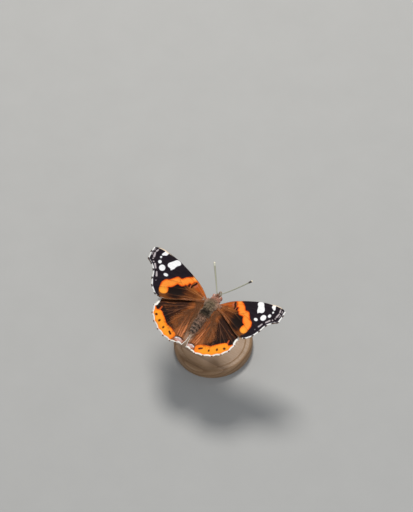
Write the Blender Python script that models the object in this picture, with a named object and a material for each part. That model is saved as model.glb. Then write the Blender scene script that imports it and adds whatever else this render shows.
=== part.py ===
"""Red admiral butterfly (Vanessa atalanta), wings spread, held on a small display stand.

Modelled at life size. The body frame is x forward, y to the insect's left and
z up, in millimetres, with its zero midway between the wing hinges; place()
turns it into the scene, where the head looks along -Y and the stand's flat
base rests at Z = 0 with its middle at the origin.
"""

import math

import bmesh
import bpy
from mathutils import Matrix, Vector

MM = 0.001

# ---- driving sizes, millimetres -------------------------------------------------
HINGE_HEIGHT = 28.0        # wing hinges above the surface the stand rests on
ROD_X = -0.6               # where the rod meets the thorax, along the body

BASE_DIAMETER = 32.0
BASE_THICKNESS = 4.0
BASE_ROUNDING = 0.9
ROD_DIAMETER = 1.3
COLLAR_DIAMETER = 4.2
COLLAR_HEIGHT = 1.4
FIT_GAP = 0.3              # every clearance between neighbouring pieces

WING_THICKNESS = 0.52
HINGE_Y = 2.35             # half the distance between left and right hinge

# forewing: plane and outline.  a runs out along the span, b forward
FORE_HINGE = (0.0, HINGE_Y, 0.0)
FORE_DIHEDRAL = math.radians(15.74)
FORE_PITCH = math.radians(-12.24)     # negative lifts the leading edge
FORE_ROOT_FRONT, FORE_ROOT_REAR = (0.72, 2.0), (0.72, 0.35)
FORE_COSTA = ((2.6, 3.38), (5.0, 4.82), (8.6, 6.22), (13.0, 7.4), (17.5, 8.4), (22.5, 8.85), (26.0, 8.95), (28.6, 8.4))
FORE_APEX = (30.1, 7.55)
FORE_VEIN_TIPS = {"R5": (30.15, 5.5), "M1": (29.4, 2.15), "M2": (27.3, 1.1), "M3": (25.2, -0.6),
                  "CuA1": (23.7, -3.6), "CuA2": (21.9, -6.3), "2A": (18.9, -8.45)}
FORE_TORNUS = (16.2, -8.5)
FORE_INNER = ((12.5, -6.6), (8.3, -3.8), (4.0, -1.2))
FORE_SCALLOP = 0.14

# hindwing
HIND_HINGE = (-3.0, HINGE_Y, -0.3)
HIND_DIHEDRAL = math.radians(9.56)
HIND_PITCH = math.radians(-5.85)
HIND_ROOT_FRONT, HIND_ROOT_REAR = (0.74, 1.25), (0.62, -1.9)
HIND_COSTA = ((4.0, 2.6), (8.0, 1.9), (12.0, -0.4), (15.0, -3.1))
HIND_CORNER = (16.4, -5.5)
HIND_VEIN_TIPS = {"Rs": (16.45, -8.9), "M1": (15.65, -12.3), "M2": (13.3, -14.7), "M3": (10.2, -16.65),
                  "CuA1": (6.85, -17.95), "CuA2": (3.2, -18.55), "1A": (0.7, -17.95)}
HIND_ANAL_ANGLE = (-1.38, -17.25)
HIND_SCALLOP = 0.40
FOLD_RADIUS = 0.45         # how sharply the inner margin turns down beside the abdomen
FOLD_REACH = 1.7           # how far it hangs there
UNDERLAP_DROP = 0.70       # the hindwing's front strip dips this far to pass below the forewing

# body: stations along x, each (x, half width, top, bottom)
THORAX = ((3.42, 1.30, 0.45, -1.55), (3.12, 1.82, 0.90, -2.0), (2.55, 2.32, 1.26, -2.42), (1.7, 2.70, 1.56, -2.8),
          (0.8, 2.90, 1.76, -3.02), (-0.2, 2.96, 1.84, -3.16), (-1.2, 2.92, 1.80, -3.18), (-2.3, 2.68, 1.66, -2.98), (-3.2, 2.25, 1.42, -2.6),
          (-3.9, 1.72, 1.12, -2.1), (-4.3, 1.15, 0.78, -1.55))
ABDOMEN_FRONT, ABDOMEN_TIP = -4.70, -15.0
ABDOMEN_HALF_WIDTH = 2.22
ABDOMEN_CENTRE_FRONT, ABDOMEN_CENTRE_TIP = -0.25, -0.50
ABDOMEN_SEGMENTS = 8
SEGMENT_GROOVE = 0.09

HEAD_CENTRE = (4.98, 0.0, -0.55)
HEAD_SIZE = (1.18, 1.78, 1.36)
EYE_CENTRE = (5.06, 1.30, -0.52)   # an eye is a dome: it bulges outwards and hardly inwards
EYE_SIZE = (0.98, 0.96, 1.12)
EYE_INWARD = 0.34
PALP = ((6.28, 0.62, -1.62), (6.88, 0.68, -1.12), (7.55, 0.60, -0.38), (8.25, 0.44, 0.25))
PALP_RADII = (0.28, 0.38, 0.36, 0.20)
ANTENNA_BASE = (6.25, 0.88, 0.92)
ANTENNA_TIP = (17.34, 9.01, 2.42)
ANTENNA_SAG = 0.5          # the shaft bows a little downward
ANTENNA_SHAFT, ANTENNA_CLUB = 0.26, 0.47
CLUB_LENGTH = 2.6
PROBOSCIS_CENTRE = (6.05, 0.0, -2.64)
PROBOSCIS_COIL, PROBOSCIS_TUBE = 0.62, 0.27

# legs: hip, knee, ankle and toe of each pair, tucked as in flight; radii at the same places
LEGS = {
    "fore": (((2.55, 0.92, -2.97), (4.02, 1.42, -3.30), (3.42, 1.38, -4.50), (2.90, 1.30, -5.15)), (0.36, 0.34, 0.34, 0.26)),
    "mid": (((0.75, 1.15, -3.50), (3.15, 3.12, -4.45), (0.35, 2.55, -6.05), (-3.35, 2.05, -6.35)), (0.42, 0.36, 0.28, 0.25)),
    "hind": (((-1.75, 1.15, -3.58), (-4.05, 2.75, -4.75), (-7.75, 2.15, -5.05), (-11.45, 1.55, -4.55)), (0.42, 0.36, 0.28, 0.25)),
}

SIDES = {"left": 1, "right": -1}


# ---- frames and small helpers ---------------------------------------------------
def place(p):
    """Body frame in millimetres to scene metres."""
    x, y, z = p
    return Vector((y * MM, (-x + ROD_X) * MM, (z + HINGE_HEIGHT) * MM))


def lerp(a, b, t):
    return a + (b - a) * t


def smooth(t):
    t = min(1.0, max(0.0, t))
    return t * t * (3 - 2 * t)


def spline(points, t):
    """Centripetal-looking smooth curve through the points, t from 0 to 1 by chord length."""
    n = len(points)
    lengths = [0.0]
    for p, q in zip(points, points[1:]):
        lengths.append(lengths[-1] + math.dist(p, q))
    s = t * lengths[-1]
    i = max(k for k in range(n - 1) if lengths[k] <= s + 1e-9)
    u = (s - lengths[i]) / (lengths[i + 1] - lengths[i])

    def tangent(k):
        lo, hi = max(0, k - 1), min(n - 1, k + 1)
        span = lengths[hi] - lengths[lo]
        return [(b - a) / span for a, b in zip(points[lo], points[hi])]

    step = lengths[i + 1] - lengths[i]
    m0, m1 = tangent(i), tangent(i + 1)
    h = (2 * u**3 - 3 * u**2 + 1, u**3 - 2 * u**2 + u, -2 * u**3 + 3 * u**2, u**3 - u**2)
    return tuple(h[0] * p + h[1] * step * a + h[2] * q + h[3] * step * b
                 for p, q, a, b in zip(points[i], points[i + 1], m0, m1))


def scalloped(points, depth, t):
    """The curve through the vein tips, drawn in between them by depth."""
    p = spline(points, t)
    q = spline(points, min(1.0, t + 1e-3))
    o = spline(points, max(0.0, t - 1e-3))
    dx, dy = q[0] - o[0], q[1] - o[1]
    size = math.hypot(dx, dy)
    lengths = [0.0]
    for a, b in zip(points, points[1:]):
        lengths.append(lengths[-1] + math.dist(a, b))
    s = t * lengths[-1]
    i = max(k for k in range(len(points) - 1) if lengths[k] <= s + 1e-9)
    u = (s - lengths[i]) / (lengths[i + 1] - lengths[i])
    inward = depth * math.sin(math.pi * u) ** 1.3 * min(1.0, (lengths[i + 1] - lengths[i]) / 2.5)
    # the margin runs from the front round to the rear, so inward is to its right
    return p[0] + inward * dy / size, p[1] - inward * dx / size


def margin_stations(points, per):
    """Chord-length positions of every vein tip and of per - 1 places between each two."""
    lengths = [0.0]
    for a, b in zip(points, points[1:]):
        lengths.append(lengths[-1] + math.dist(a, b))
    cuts = [lerp(p, q, k / per) for p, q in zip(lengths, lengths[1:]) for k in range(per)]
    return [c / lengths[-1] for c in cuts] + [1.0]


def patch(front, rear, root, outer, s, t):
    """Coons patch: front and rear margins, root and outer edge as functions of 0..1."""
    c, i = front(t), rear(t)
    r, o = root(s), outer(s)
    a, b, d, e = front(0), front(1), rear(0), rear(1)
    return tuple((1 - s) * c[k] + s * i[k] + (1 - t) * r[k] + t * o[k]
                 - ((1 - s) * (1 - t) * a[k] + (1 - s) * t * b[k] + s * (1 - t) * d[k] + s * t * e[k])
                 for k in (0, 1))


def plane(hinge, dihedral, pitch, a, b, lift=0.0):
    """A point of a wing plane, in the body frame of the left side."""
    x = math.cos(pitch) * b + math.sin(pitch) * lift
    z = -math.sin(pitch) * b + math.cos(pitch) * lift
    y2 = math.cos(dihedral) * a - math.sin(dihedral) * z
    z2 = math.sin(dihedral) * a + math.cos(dihedral) * z
    return x + hinge[0], y2 + hinge[1], z2 + hinge[2]


# ---- body outline ---------------------------------------------------------------
def abdomen_section(x):
    """(half width, centre z, half height) of the abdomen at x."""
    u = (ABDOMEN_FRONT - x) / (ABDOMEN_FRONT - ABDOMEN_TIP)
    u = min(1.0, max(0.0, u))
    swell = (min(1.0, (u + 0.02) / 0.16)) ** 0.45 if u < 0.14 else 1.0
    taper = math.sqrt(max(0.0, 1 - max(0.0, (u - 0.40) / 0.605) ** 2.3))
    w = ABDOMEN_HALF_WIDTH * swell * taper * (0.93 + 0.07 * math.sin(math.pi * min(1, u / 0.8)))
    groove = SEGMENT_GROOVE * (0.5 + 0.5 * math.cos(2 * math.pi * u * ABDOMEN_SEGMENTS)) ** 3
    w = max(0.16, w - groove * smooth(u / 0.1) * smooth((0.97 - u) / 0.1))
    return w, lerp(ABDOMEN_CENTRE_FRONT, ABDOMEN_CENTRE_TIP, u**1.2), w * 0.94


# ---- wings ----------------------------------------------------------------------
def fore_tips():
    return [FORE_APEX, *FORE_VEIN_TIPS.values(), FORE_TORNUS]


def hind_tips():
    return [HIND_CORNER, *HIND_VEIN_TIPS.values(), HIND_ANAL_ANGLE]


def fore_point(s, t):
    tips = fore_tips()
    front = [FORE_ROOT_FRONT, *FORE_COSTA, FORE_APEX]
    rear = [FORE_ROOT_REAR, *reversed(FORE_INNER), FORE_TORNUS]
    return patch(lambda v: spline(front, v), lambda v: spline(rear, v),
                 lambda u: tuple(lerp(p, q, u) for p, q in zip(FORE_ROOT_FRONT, FORE_ROOT_REAR)),
                 lambda u: scalloped(tips, FORE_SCALLOP, u), s, t)


def fold_line(b):
    """The hindwing a where its inner part turns down beside the abdomen, for a station b."""
    x = HIND_HINGE[0] + b
    clear = abdomen_section(x)[0] + FIT_GAP + WING_THICKNESS / 2 + FOLD_RADIUS
    beside = clear - HINGE_Y
    behind = 0.2 + WING_THICKNESS / 2 - HINGE_Y
    return lerp(beside, behind, smooth((-b - 9.4) / 3.3))


def fold_angle(b):
    return math.radians(82) * (1 - smooth((-b - 8.6) / 3.6))


def fold_reach(b):
    return lerp(0.25, FOLD_REACH, smooth((-b - 1.6) / 3.0) * (1 - smooth((-b - 8.0) / 4.0)))


def hind_plan(s, t):
    """Plan point of the flat part: s = 1 is the fold line."""
    tips = hind_tips()
    front = [HIND_ROOT_FRONT, *HIND_COSTA, HIND_CORNER]

    def rear(v):
        b = lerp(HIND_ROOT_REAR[1], HIND_ANAL_ANGLE[1], v)
        a = lerp(HIND_ROOT_REAR[0], fold_line(b), smooth(v / 0.16))
        flare = smooth((-b - 14.2) / 3.1) * (HIND_ANAL_ANGLE[0] - fold_line(HIND_ANAL_ANGLE[1]))
        return a + flare, b

    return patch(lambda v: spline(front, v), rear,
                 lambda u: tuple(lerp(p, q, u) for p, q in zip(HIND_ROOT_FRONT, rear(0))),
                 lambda u: scalloped(tips, HIND_SCALLOP, u), s, t)


def forewing_rear_x(y):
    """Plan line of the forewing's inner margin, in the body frame."""
    return 0.1 - 0.596 * (y - 4.1)


def hind_lift(a, b):
    """How far the hindwing leaves its plane: it dips below the forewing and droops at its outer margin."""
    x, y = HIND_HINGE[0] + b, HINGE_Y + a
    dip = -UNDERLAP_DROP * smooth((x - forewing_rear_x(y) + 1.7) / 2.2) * smooth((a - 0.2) / 1.4)
    radius, turn = math.hypot(a, b) / 18.0, math.degrees(math.atan2(a, -b))
    droop = -0.75 * max(0.0, radius - 0.83) ** 2 / 0.067 * math.exp(-((turn - 36) / 24) ** 2)
    lift = 0.40 * radius**3 * math.exp(-((turn - 4) / 11) ** 2)
    return dip + droop + lift


def hind_surface(a, b, beyond):
    """Body-frame point; beyond is the length past the fold line, which hangs down."""
    if beyond <= 0:
        return plane(HIND_HINGE, HIND_DIHEDRAL, HIND_PITCH, a, b, hind_lift(a, b))
    angle = fold_angle(b)
    x, y, z = plane(HIND_HINGE, HIND_DIHEDRAL, HIND_PITCH, a, b, hind_lift(a, b))
    arc = FOLD_RADIUS * angle
    if angle < 1e-3:
        return x, y - beyond, z - beyond * math.sin(HIND_DIHEDRAL)
    if beyond < arc:
        turn = beyond / FOLD_RADIUS
        return x, y - FOLD_RADIUS * math.sin(turn), z - FOLD_RADIUS * (1 - math.cos(turn))
    rest = beyond - arc
    return (x, y - FOLD_RADIUS * math.sin(angle) - rest * math.cos(angle),
            z - FOLD_RADIUS * (1 - math.cos(angle)) - rest * math.sin(angle))


def sheet(name, grid, side, material):
    """A wing from its grid of middle points, thickened both ways by a Solidify modifier."""
    bm = bmesh.new()
    rows = [[bm.verts.new(place((p[0], side * p[1], p[2]))) for p in row] for row in grid]
    for r0, r1 in zip(rows, rows[1:]):
        for k in range(len(r0) - 1):
            face = [r0[k], r1[k], r1[k + 1], r0[k + 1]]
            bm.faces.new(face if side > 0 else face[::-1])
    bm.normal_update()
    if sum(f.normal.z for f in bm.faces) < 0:
        bmesh.ops.reverse_faces(bm, faces=bm.faces)
    obj = finish(name, bm, material)
    thick = obj.modifiers.new("thickness", "SOLIDIFY")
    thick.thickness = WING_THICKNESS * MM
    thick.offset = 0.0
    thick.use_even_offset = True
    return obj


def forewing(name, side, material):
    along = 9
    stations = margin_stations(fore_tips(), 3)
    grid = [[plane(FORE_HINGE, FORE_DIHEDRAL, FORE_PITCH, *fore_point(s, t / along)) for s in stations]
            for t in range(along + 1)]
    return sheet(name, grid, side, material)


def hindwing(name, side, material):
    stations = margin_stations(hind_tips(), 4)
    grid = []
    for k in range(12):
        t = k / 11
        row = []
        for s in stations:
            a, b = hind_plan(s, t)
            row.append(hind_surface(a, b, 0.0))
        a, b = hind_plan(1.0, t)
        arc = FOLD_RADIUS * fold_angle(b)
        reach = fold_reach(b)
        for step in (0.3, 0.62, 1.0):
            row.append(hind_surface(a, b, min(arc, reach * 0.8) * step))
        row.append(hind_surface(a, b, reach))
        grid.append(row)
    return sheet(name, grid, side, material)


# ---- solid makers ---------------------------------------------------------------
def material(name, colour, roughness, metallic=0.0):
    m = bpy.data.materials.new(name)
    m.use_nodes = True
    shader = m.node_tree.nodes["Principled BSDF"]
    shader.inputs["Base Color"].default_value = (*colour, 1)
    shader.inputs["Roughness"].default_value = roughness
    shader.inputs["Metallic"].default_value = metallic
    m.diffuse_color = (*colour, 1)
    return m


def finish(name, bm, mat, smooth_shading=True):
    mesh = bpy.data.meshes.new(name)
    bm.to_mesh(mesh)
    bm.free()
    mesh.materials.append(mat)
    if smooth_shading:
        mesh.shade_smooth()
        mesh.set_sharp_from_angle(angle=math.radians(40))
    obj = bpy.data.objects.new(name, mesh)
    bpy.context.scene.collection.objects.link(obj)
    return obj


def skin_rings(bm, rings, ends):
    """Closes rings of vertices into a body, with a point at each end."""
    for r0, r1 in zip(rings, rings[1:]):
        n = len(r0)
        for k in range(n):
            bm.faces.new([r0[k], r0[(k + 1) % n], r1[(k + 1) % n], r1[k]])
    for ring, tip, flip in ((rings[0], ends[0], True), (rings[-1], ends[1], False)):
        n = len(ring)
        for k in range(n):
            face = [ring[k], ring[(k + 1) % n], tip]
            bm.faces.new(face[::-1] if flip else face)
    bmesh.ops.recalc_face_normals(bm, faces=bm.faces)


def loft(name, stations, segments, mat, ends):
    """stations: (x, half width, top, bottom), with a slightly squared section."""
    bm = bmesh.new()
    rings = []
    for x, w, top, bottom in stations:
        ring = []
        middle, half = (top + bottom) / 2, (top - bottom) / 2
        for k in range(segments):
            u = 2 * math.pi * k / segments
            ring.append(bm.verts.new(place((x, w * math.cos(u), middle + half * math.sin(u)))))
        rings.append(ring)
    tips = [bm.verts.new(place(e)) for e in ends]
    skin_rings(bm, rings, tips)
    return finish(name, bm, mat)


def tube(name, points, radii, segments, mat, round_ends=0.7):
    """A limb through the points with the given radii, capped by shallow points."""
    bm = bmesh.new()
    rings = []
    pts = [Vector(p) for p in points]
    for k, p in enumerate(pts):
        ahead = pts[min(k + 1, len(pts) - 1)] - pts[max(k - 1, 0)]
        side = ahead.cross(Vector((0, 0, 1)))
        if side.length < 1e-3:
            side = Vector((0, 1, 0))
        side.normalize()
        up = side.cross(ahead).normalized()
        rings.append([bm.verts.new(place(p + radii[k] * (math.cos(u) * side + math.sin(u) * up)))
                      for u in (2 * math.pi * j / segments for j in range(segments))])
    first = pts[0] + (pts[0] - pts[1]).normalized() * radii[0] * round_ends
    last = pts[-1] + (pts[-1] - pts[-2]).normalized() * radii[-1] * round_ends
    skin_rings(bm, rings, [bm.verts.new(place(first)), bm.verts.new(place(last))])
    return finish(name, bm, mat)


def ellipsoid(name, centre, size, mat, segments=18, rings=11, helper=False, grow=0.0, inward=None):
    """inward, if given, is the smaller half size on the side that faces the middle."""
    bm = bmesh.new()
    bmesh.ops.create_uvsphere(bm, u_segments=segments, v_segments=rings, radius=1.0)
    for v in bm.verts:
        half = list(size)
        if inward is not None and v.co.y * centre[1] < 0:
            half[1] = inward
        v.co = place(tuple(c + v.co[k] * (half[k] + grow) for k, c in enumerate(centre)))
    bmesh.ops.recalc_face_normals(bm, faces=bm.faces)
    obj = finish(name, bm, mat)
    if helper:
        obj.hide_render = True
        obj.display_type = "WIRE"
    return obj


def cut(obj, cutter):
    modifier = obj.modifiers.new("cut", "BOOLEAN")
    modifier.operation = "DIFFERENCE"
    modifier.object = cutter
    modifier.solver = "EXACT"


def turned(name, profile, mat, segments, lift=(0.0, 0.0)):
    """A turned solid from (radius, height) pairs, bottom to top, about the rod's line."""
    bm = bmesh.new()
    rings = []
    for r, h in profile:
        rings.append([bm.verts.new(((lift[0] + r * math.cos(u)) * MM, (lift[1] + r * math.sin(u)) * MM, h * MM))
                      for u in (2 * math.pi * k / segments for k in range(segments))])
    for r0, r1 in zip(rings, rings[1:]):
        for k in range(segments):
            j = (k + 1) % segments
            bm.faces.new([r0[k], r0[j], r1[j], r1[k]])
    bm.faces.new(rings[0][::-1])
    bm.faces.new(rings[-1])
    bmesh.ops.recalc_face_normals(bm, faces=bm.faces)
    return finish(name, bm, mat)


# ---- the parts ------------------------------------------------------------------
def build_stand(wood, steel):
    r, h, e = BASE_DIAMETER / 2, BASE_THICKNESS, BASE_ROUNDING
    profile = [(r - 0.3, 0.0), (r, 0.3)]
    profile += [(r - e + e * math.cos(u), h - e + e * math.sin(u)) for u in (math.radians(d) for d in (0, 30, 60, 90))]
    turned("stand_base", profile, wood, 52)
    lowest = min(station[3] for station in THORAX) + HINGE_HEIGHT
    foot = h + FIT_GAP
    rod = ROD_DIAMETER / 2
    collar = COLLAR_DIAMETER / 2
    turned("stand_rod", [(collar - 0.15, foot), (collar, foot + 0.15), (collar, foot + COLLAR_HEIGHT - 0.35),
                         (collar - 0.35, foot + COLLAR_HEIGHT), (rod, foot + COLLAR_HEIGHT),
                         (rod, lowest + 1.3), (rod - 0.25, lowest + 1.55)], steel, 24)
    socket = turned("socket_cutter", [(rod + FIT_GAP, lowest - 2.0), (rod + FIT_GAP, lowest + 1.55 + FIT_GAP)], steel, 24)
    socket.hide_render = True
    socket.display_type = "WIRE"
    return socket


def build_body(hair, socket):
    front = (THORAX[0][0] + 0.10, 0.0, (THORAX[0][2] + THORAX[0][3]) / 2)
    rear = (THORAX[-1][0] - 0.08, 0.0, (THORAX[-1][2] + THORAX[-1][3]) / 2)
    thorax = loft("thorax", THORAX, 28, hair, (front, rear))
    cut(thorax, socket)
    rings = 4 * ABDOMEN_SEGMENTS
    stations = []
    for k in range(1, rings):
        x = lerp(ABDOMEN_FRONT, ABDOMEN_TIP, k / rings if k > 1 else 0.006)
        w, middle, half = abdomen_section(x)
        stations.append((x, w, middle + half, middle - half))
    loft("abdomen", stations, 22, hair,
         ((ABDOMEN_FRONT + 0.02, 0.0, ABDOMEN_CENTRE_FRONT), (ABDOMEN_TIP, 0.0, ABDOMEN_CENTRE_TIP)))


def build_head(hair, eye, horn):
    head = ellipsoid("head", HEAD_CENTRE, HEAD_SIZE, hair, 24, 15)
    for label, side in SIDES.items():
        centre = (EYE_CENTRE[0], side * EYE_CENTRE[1], EYE_CENTRE[2])
        ellipsoid("eye_" + label, centre, EYE_SIZE, eye, 18, 11, inward=EYE_INWARD)
        cut(head, ellipsoid("eye_socket_" + label, centre, EYE_SIZE, eye, 18, 11, helper=True, grow=FIT_GAP, inward=EYE_INWARD))
        points = [spline(PALP, k / 6) for k in range(7)]
        radii = [spline([(i, r) for i, r in enumerate(PALP_RADII)], k / 6)[1] for k in range(7)]
        tube("palp_" + label, [(p[0], side * p[1], p[2]) for p in points], radii, 10, hair)
        points, radii = [], []
        length = math.dist(ANTENNA_BASE, ANTENNA_TIP)
        for k in range(15):
            u = k / 14
            p = [lerp(a, b, u) for a, b in zip(ANTENNA_BASE, ANTENNA_TIP)]
            bow = ANTENNA_SAG * math.sin(math.pi * u ** 0.8)
            points.append((p[0], side * p[1], p[2] - bow))
            left = length * (1 - u)
            club = smooth((CLUB_LENGTH - left) / (0.75 * CLUB_LENGTH))
            radii.append(lerp(ANTENNA_SHAFT, ANTENNA_CLUB, club) * (0.62 if k == 14 else 1.0))
        tube("antenna_" + label, points, radii, 8, horn)
    bm = bmesh.new()
    around, across = 20, 8
    loops = []
    for k in range(around):
        u = 2 * math.pi * k / around
        loop = []
        for j in range(across):
            v = 2 * math.pi * j / across
            r = PROBOSCIS_COIL - 0.12 + PROBOSCIS_TUBE * math.cos(v)
            loop.append(bm.verts.new(place((PROBOSCIS_CENTRE[0] + r * math.cos(u),
                                            PROBOSCIS_CENTRE[1] + PROBOSCIS_TUBE * math.sin(v),
                                            PROBOSCIS_CENTRE[2] + r * math.sin(u)))))
        loops.append(loop)
    for k in range(around):
        for j in range(across):
            bm.faces.new([loops[k][j], loops[k][(j + 1) % across],
                          loops[(k + 1) % around][(j + 1) % across], loops[(k + 1) % around][j]])
    bmesh.ops.recalc_face_normals(bm, faces=bm.faces)
    finish("proboscis", bm, horn)


def limb(name, joints, radii, side, mat):
    """A jointed limb: a rounded, tapered length between each two joints, united into one body."""
    around, made = 7, []
    for k, (p, q) in enumerate(zip(joints, joints[1:])):
        p, q = (Vector((c[0], side * c[1], c[2])) for c in (p, q))
        along = (q - p).normalized()
        length = (q - p).length
        # a later length starts a little slimmer than the one before ends, so their faces cross clearly
        start, end = radii[k] * (1.0 if k == 0 else 0.9), radii[k + 1]
        swell = 0.20 if k == 0 else 0.06
        stations = [(-0.62 * start, 0.74 * start), (0.0, start),
                    (0.45 * length, lerp(start, end, 0.45) * (1 + swell)), (length, end), (length + 0.62 * end, 0.74 * end)]
        across = along.cross(Vector((0, 0, 1))).normalized()
        up = across.cross(along).normalized()
        bm = bmesh.new()
        rings = []
        for far, r in stations:
            turn = math.pi / around * (k % 2)
            rings.append([bm.verts.new(place(p + along * far + r * (math.cos(u + turn) * across + math.sin(u + turn) * up)))
                          for u in (2 * math.pi * j / around for j in range(around))])
        tips = [bm.verts.new(place(p - along * start)), bm.verts.new(place(q + along * end))]
        skin_rings(bm, rings, tips)
        made.append(finish(name if k == 0 else f"{name}_length_{k}", bm, mat))
    for k, piece in enumerate(made[1:]):
        piece.hide_render = True
        piece.display_type = "WIRE"
        modifier = made[0].modifiers.new(f"length_{k + 1}", "BOOLEAN")
        modifier.operation = "UNION"
        modifier.object = piece
        modifier.solver = "EXACT"
    return made[0]


def build_legs(horn):
    for pair, (joints, radii) in LEGS.items():
        for label, side in SIDES.items():
            limb(f"leg_{pair}_{label}", joints, radii, side, horn)


def main():
    for obj in list(bpy.data.objects):
        bpy.data.objects.remove(obj, do_unlink=True)
    hair = material("body_hair", (0.16, 0.12, 0.075), 0.8)
    scales = material("wing_scales", (0.16, 0.06, 0.03), 0.65)
    eye = material("compound_eye", (0.20, 0.09, 0.07), 0.25)
    horn = material("chitin", (0.20, 0.19, 0.15), 0.5)
    wood = material("pale_wood", (0.62, 0.47, 0.31), 0.45)
    steel = material("steel", (0.62, 0.62, 0.63), 0.28, 1.0)
    socket = build_stand(wood, steel)
    build_body(hair, socket)
    build_head(hair, eye, horn)
    build_legs(horn)
    for label, side in SIDES.items():
        forewing("forewing_" + label, side, scales)
        hindwing("hindwing_" + label, side, scales)


main()
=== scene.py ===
"""Red admiral butterfly on a display stand: the visual model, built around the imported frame.

Works in the body frame of the insect, x forward, y to its left, z up, in
millimetres; place() turns that into the scene in metres.
"""

import math

import bmesh
import bpy
import numpy as np
from mathutils import Matrix, Vector


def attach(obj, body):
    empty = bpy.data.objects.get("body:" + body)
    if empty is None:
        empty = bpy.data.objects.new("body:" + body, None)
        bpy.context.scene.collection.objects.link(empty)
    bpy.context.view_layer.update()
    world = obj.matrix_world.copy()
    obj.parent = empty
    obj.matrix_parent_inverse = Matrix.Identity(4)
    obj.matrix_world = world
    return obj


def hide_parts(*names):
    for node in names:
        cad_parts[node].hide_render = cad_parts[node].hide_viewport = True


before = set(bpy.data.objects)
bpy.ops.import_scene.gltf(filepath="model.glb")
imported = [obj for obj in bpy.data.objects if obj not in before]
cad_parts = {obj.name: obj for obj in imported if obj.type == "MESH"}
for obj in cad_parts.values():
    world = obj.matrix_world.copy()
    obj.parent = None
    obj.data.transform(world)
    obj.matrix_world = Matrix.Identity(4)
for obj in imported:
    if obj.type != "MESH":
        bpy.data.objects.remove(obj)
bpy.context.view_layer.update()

MM = 0.001
RNG = np.random.default_rng(20417)
SIDES = (("left", 1.0), ("right", -1.0))

# ---- sizes shared with the solids, millimetres -----------------------------------
HINGE_HEIGHT, ROD_X = 28.0, -0.6
WING_THICKNESS, HINGE_Y, FIT_GAP = 0.52, 2.35, 0.3

FORE_HINGE = (0.0, HINGE_Y, 0.0)
FORE_DIHEDRAL, FORE_PITCH = math.radians(15.74), math.radians(-12.24)
FORE_ROOT_FRONT, FORE_ROOT_REAR = (0.72, 2.0), (0.72, 0.35)
FORE_COSTA = ((2.6, 3.38), (5.0, 4.82), (8.6, 6.22), (13.0, 7.4), (17.5, 8.4), (22.5, 8.85), (26.0, 8.95), (28.6, 8.4))
FORE_APEX = (30.1, 7.55)
FORE_TIPS = ((30.15, 5.5), (29.4, 2.15), (27.3, 1.1), (25.2, -0.6), (23.7, -3.6), (21.9, -6.3), (18.9, -8.45))
FORE_TORNUS = (16.2, -8.5)
FORE_INNER = ((12.5, -6.6), (8.3, -3.8), (4.0, -1.2))
FORE_SCALLOP = 0.14

HIND_HINGE = (-3.0, HINGE_Y, -0.3)
HIND_DIHEDRAL, HIND_PITCH = math.radians(9.56), math.radians(-5.85)
HIND_ROOT_FRONT, HIND_ROOT_REAR = (0.74, 1.25), (0.62, -1.9)
HIND_COSTA = ((4.0, 2.6), (8.0, 1.9), (12.0, -0.4), (15.0, -3.1))
HIND_CORNER = (16.4, -5.5)
HIND_TIPS = ((16.45, -8.9), (15.65, -12.3), (13.3, -14.7), (10.2, -16.65), (6.85, -17.95), (3.2, -18.55), (0.7, -17.95))
HIND_ANAL_ANGLE = (-1.38, -17.25)
HIND_SCALLOP = 0.40
FOLD_RADIUS, FOLD_REACH, UNDERLAP_DROP = 0.45, 1.7, 0.70

THORAX = ((3.42, 1.30, 0.45, -1.55), (3.12, 1.82, 0.90, -2.0), (2.55, 2.32, 1.26, -2.42), (1.7, 2.70, 1.56, -2.8),
          (0.8, 2.90, 1.76, -3.02), (-0.2, 2.96, 1.84, -3.16), (-1.2, 2.92, 1.80, -3.18), (-2.3, 2.68, 1.66, -2.98),
          (-3.2, 2.25, 1.42, -2.6), (-3.9, 1.72, 1.12, -2.1), (-4.3, 1.15, 0.78, -1.55))
ABDOMEN_FRONT, ABDOMEN_TIP, ABDOMEN_HALF_WIDTH = -4.70, -15.0, 2.22
ABDOMEN_CENTRE_FRONT, ABDOMEN_CENTRE_TIP = -0.25, -0.50
HEAD_CENTRE, HEAD_SIZE = (4.98, 0.0, -0.55), (1.18, 1.78, 1.36)
EYE_CENTRE, EYE_SIZE, EYE_INWARD = (5.06, 1.30, -0.52), (0.98, 0.96, 1.12), 0.34
PALP = ((6.28, 0.62, -1.62), (6.88, 0.68, -1.12), (7.55, 0.60, -0.38), (8.25, 0.44, 0.25))
PALP_RADII = (0.28, 0.38, 0.36, 0.20)
ANTENNA_BASE, ANTENNA_TIP, ANTENNA_SAG = (6.25, 0.88, 0.92), (17.34, 9.01, 2.42), 0.5
ANTENNA_SHAFT, ANTENNA_CLUB, CLUB_LENGTH = 0.26, 0.47, 2.6
PROBOSCIS_CENTRE, PROBOSCIS_COIL, PROBOSCIS_TUBE = (6.05, 0.0, -2.64), 0.62, 0.27
LEGS = {
    "fore": (((2.55, 0.92, -2.97), (4.02, 1.42, -3.30), (3.42, 1.38, -4.50), (2.90, 1.30, -5.15)), (0.36, 0.34, 0.34, 0.26)),
    "mid": (((0.75, 1.15, -3.50), (3.15, 3.12, -4.45), (0.35, 2.55, -6.05), (-3.35, 2.05, -6.35)), (0.42, 0.36, 0.28, 0.25)),
    "hind": (((-1.75, 1.15, -3.58), (-4.05, 2.75, -4.75), (-7.75, 2.15, -5.05), (-11.45, 1.55, -4.55)), (0.42, 0.36, 0.28, 0.25)),
}
BASE_DIAMETER, BASE_THICKNESS, ROD_DIAMETER = 32.0, 4.0, 1.3
COLLAR_DIAMETER, COLLAR_HEIGHT = 4.2, 1.4


# ---- array helpers ---------------------------------------------------------------
def place(p):
    p = np.asarray(p, float)
    return np.stack([p[..., 1], -p[..., 0] + ROD_X, p[..., 2] + HINGE_HEIGHT], -1) * MM


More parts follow.
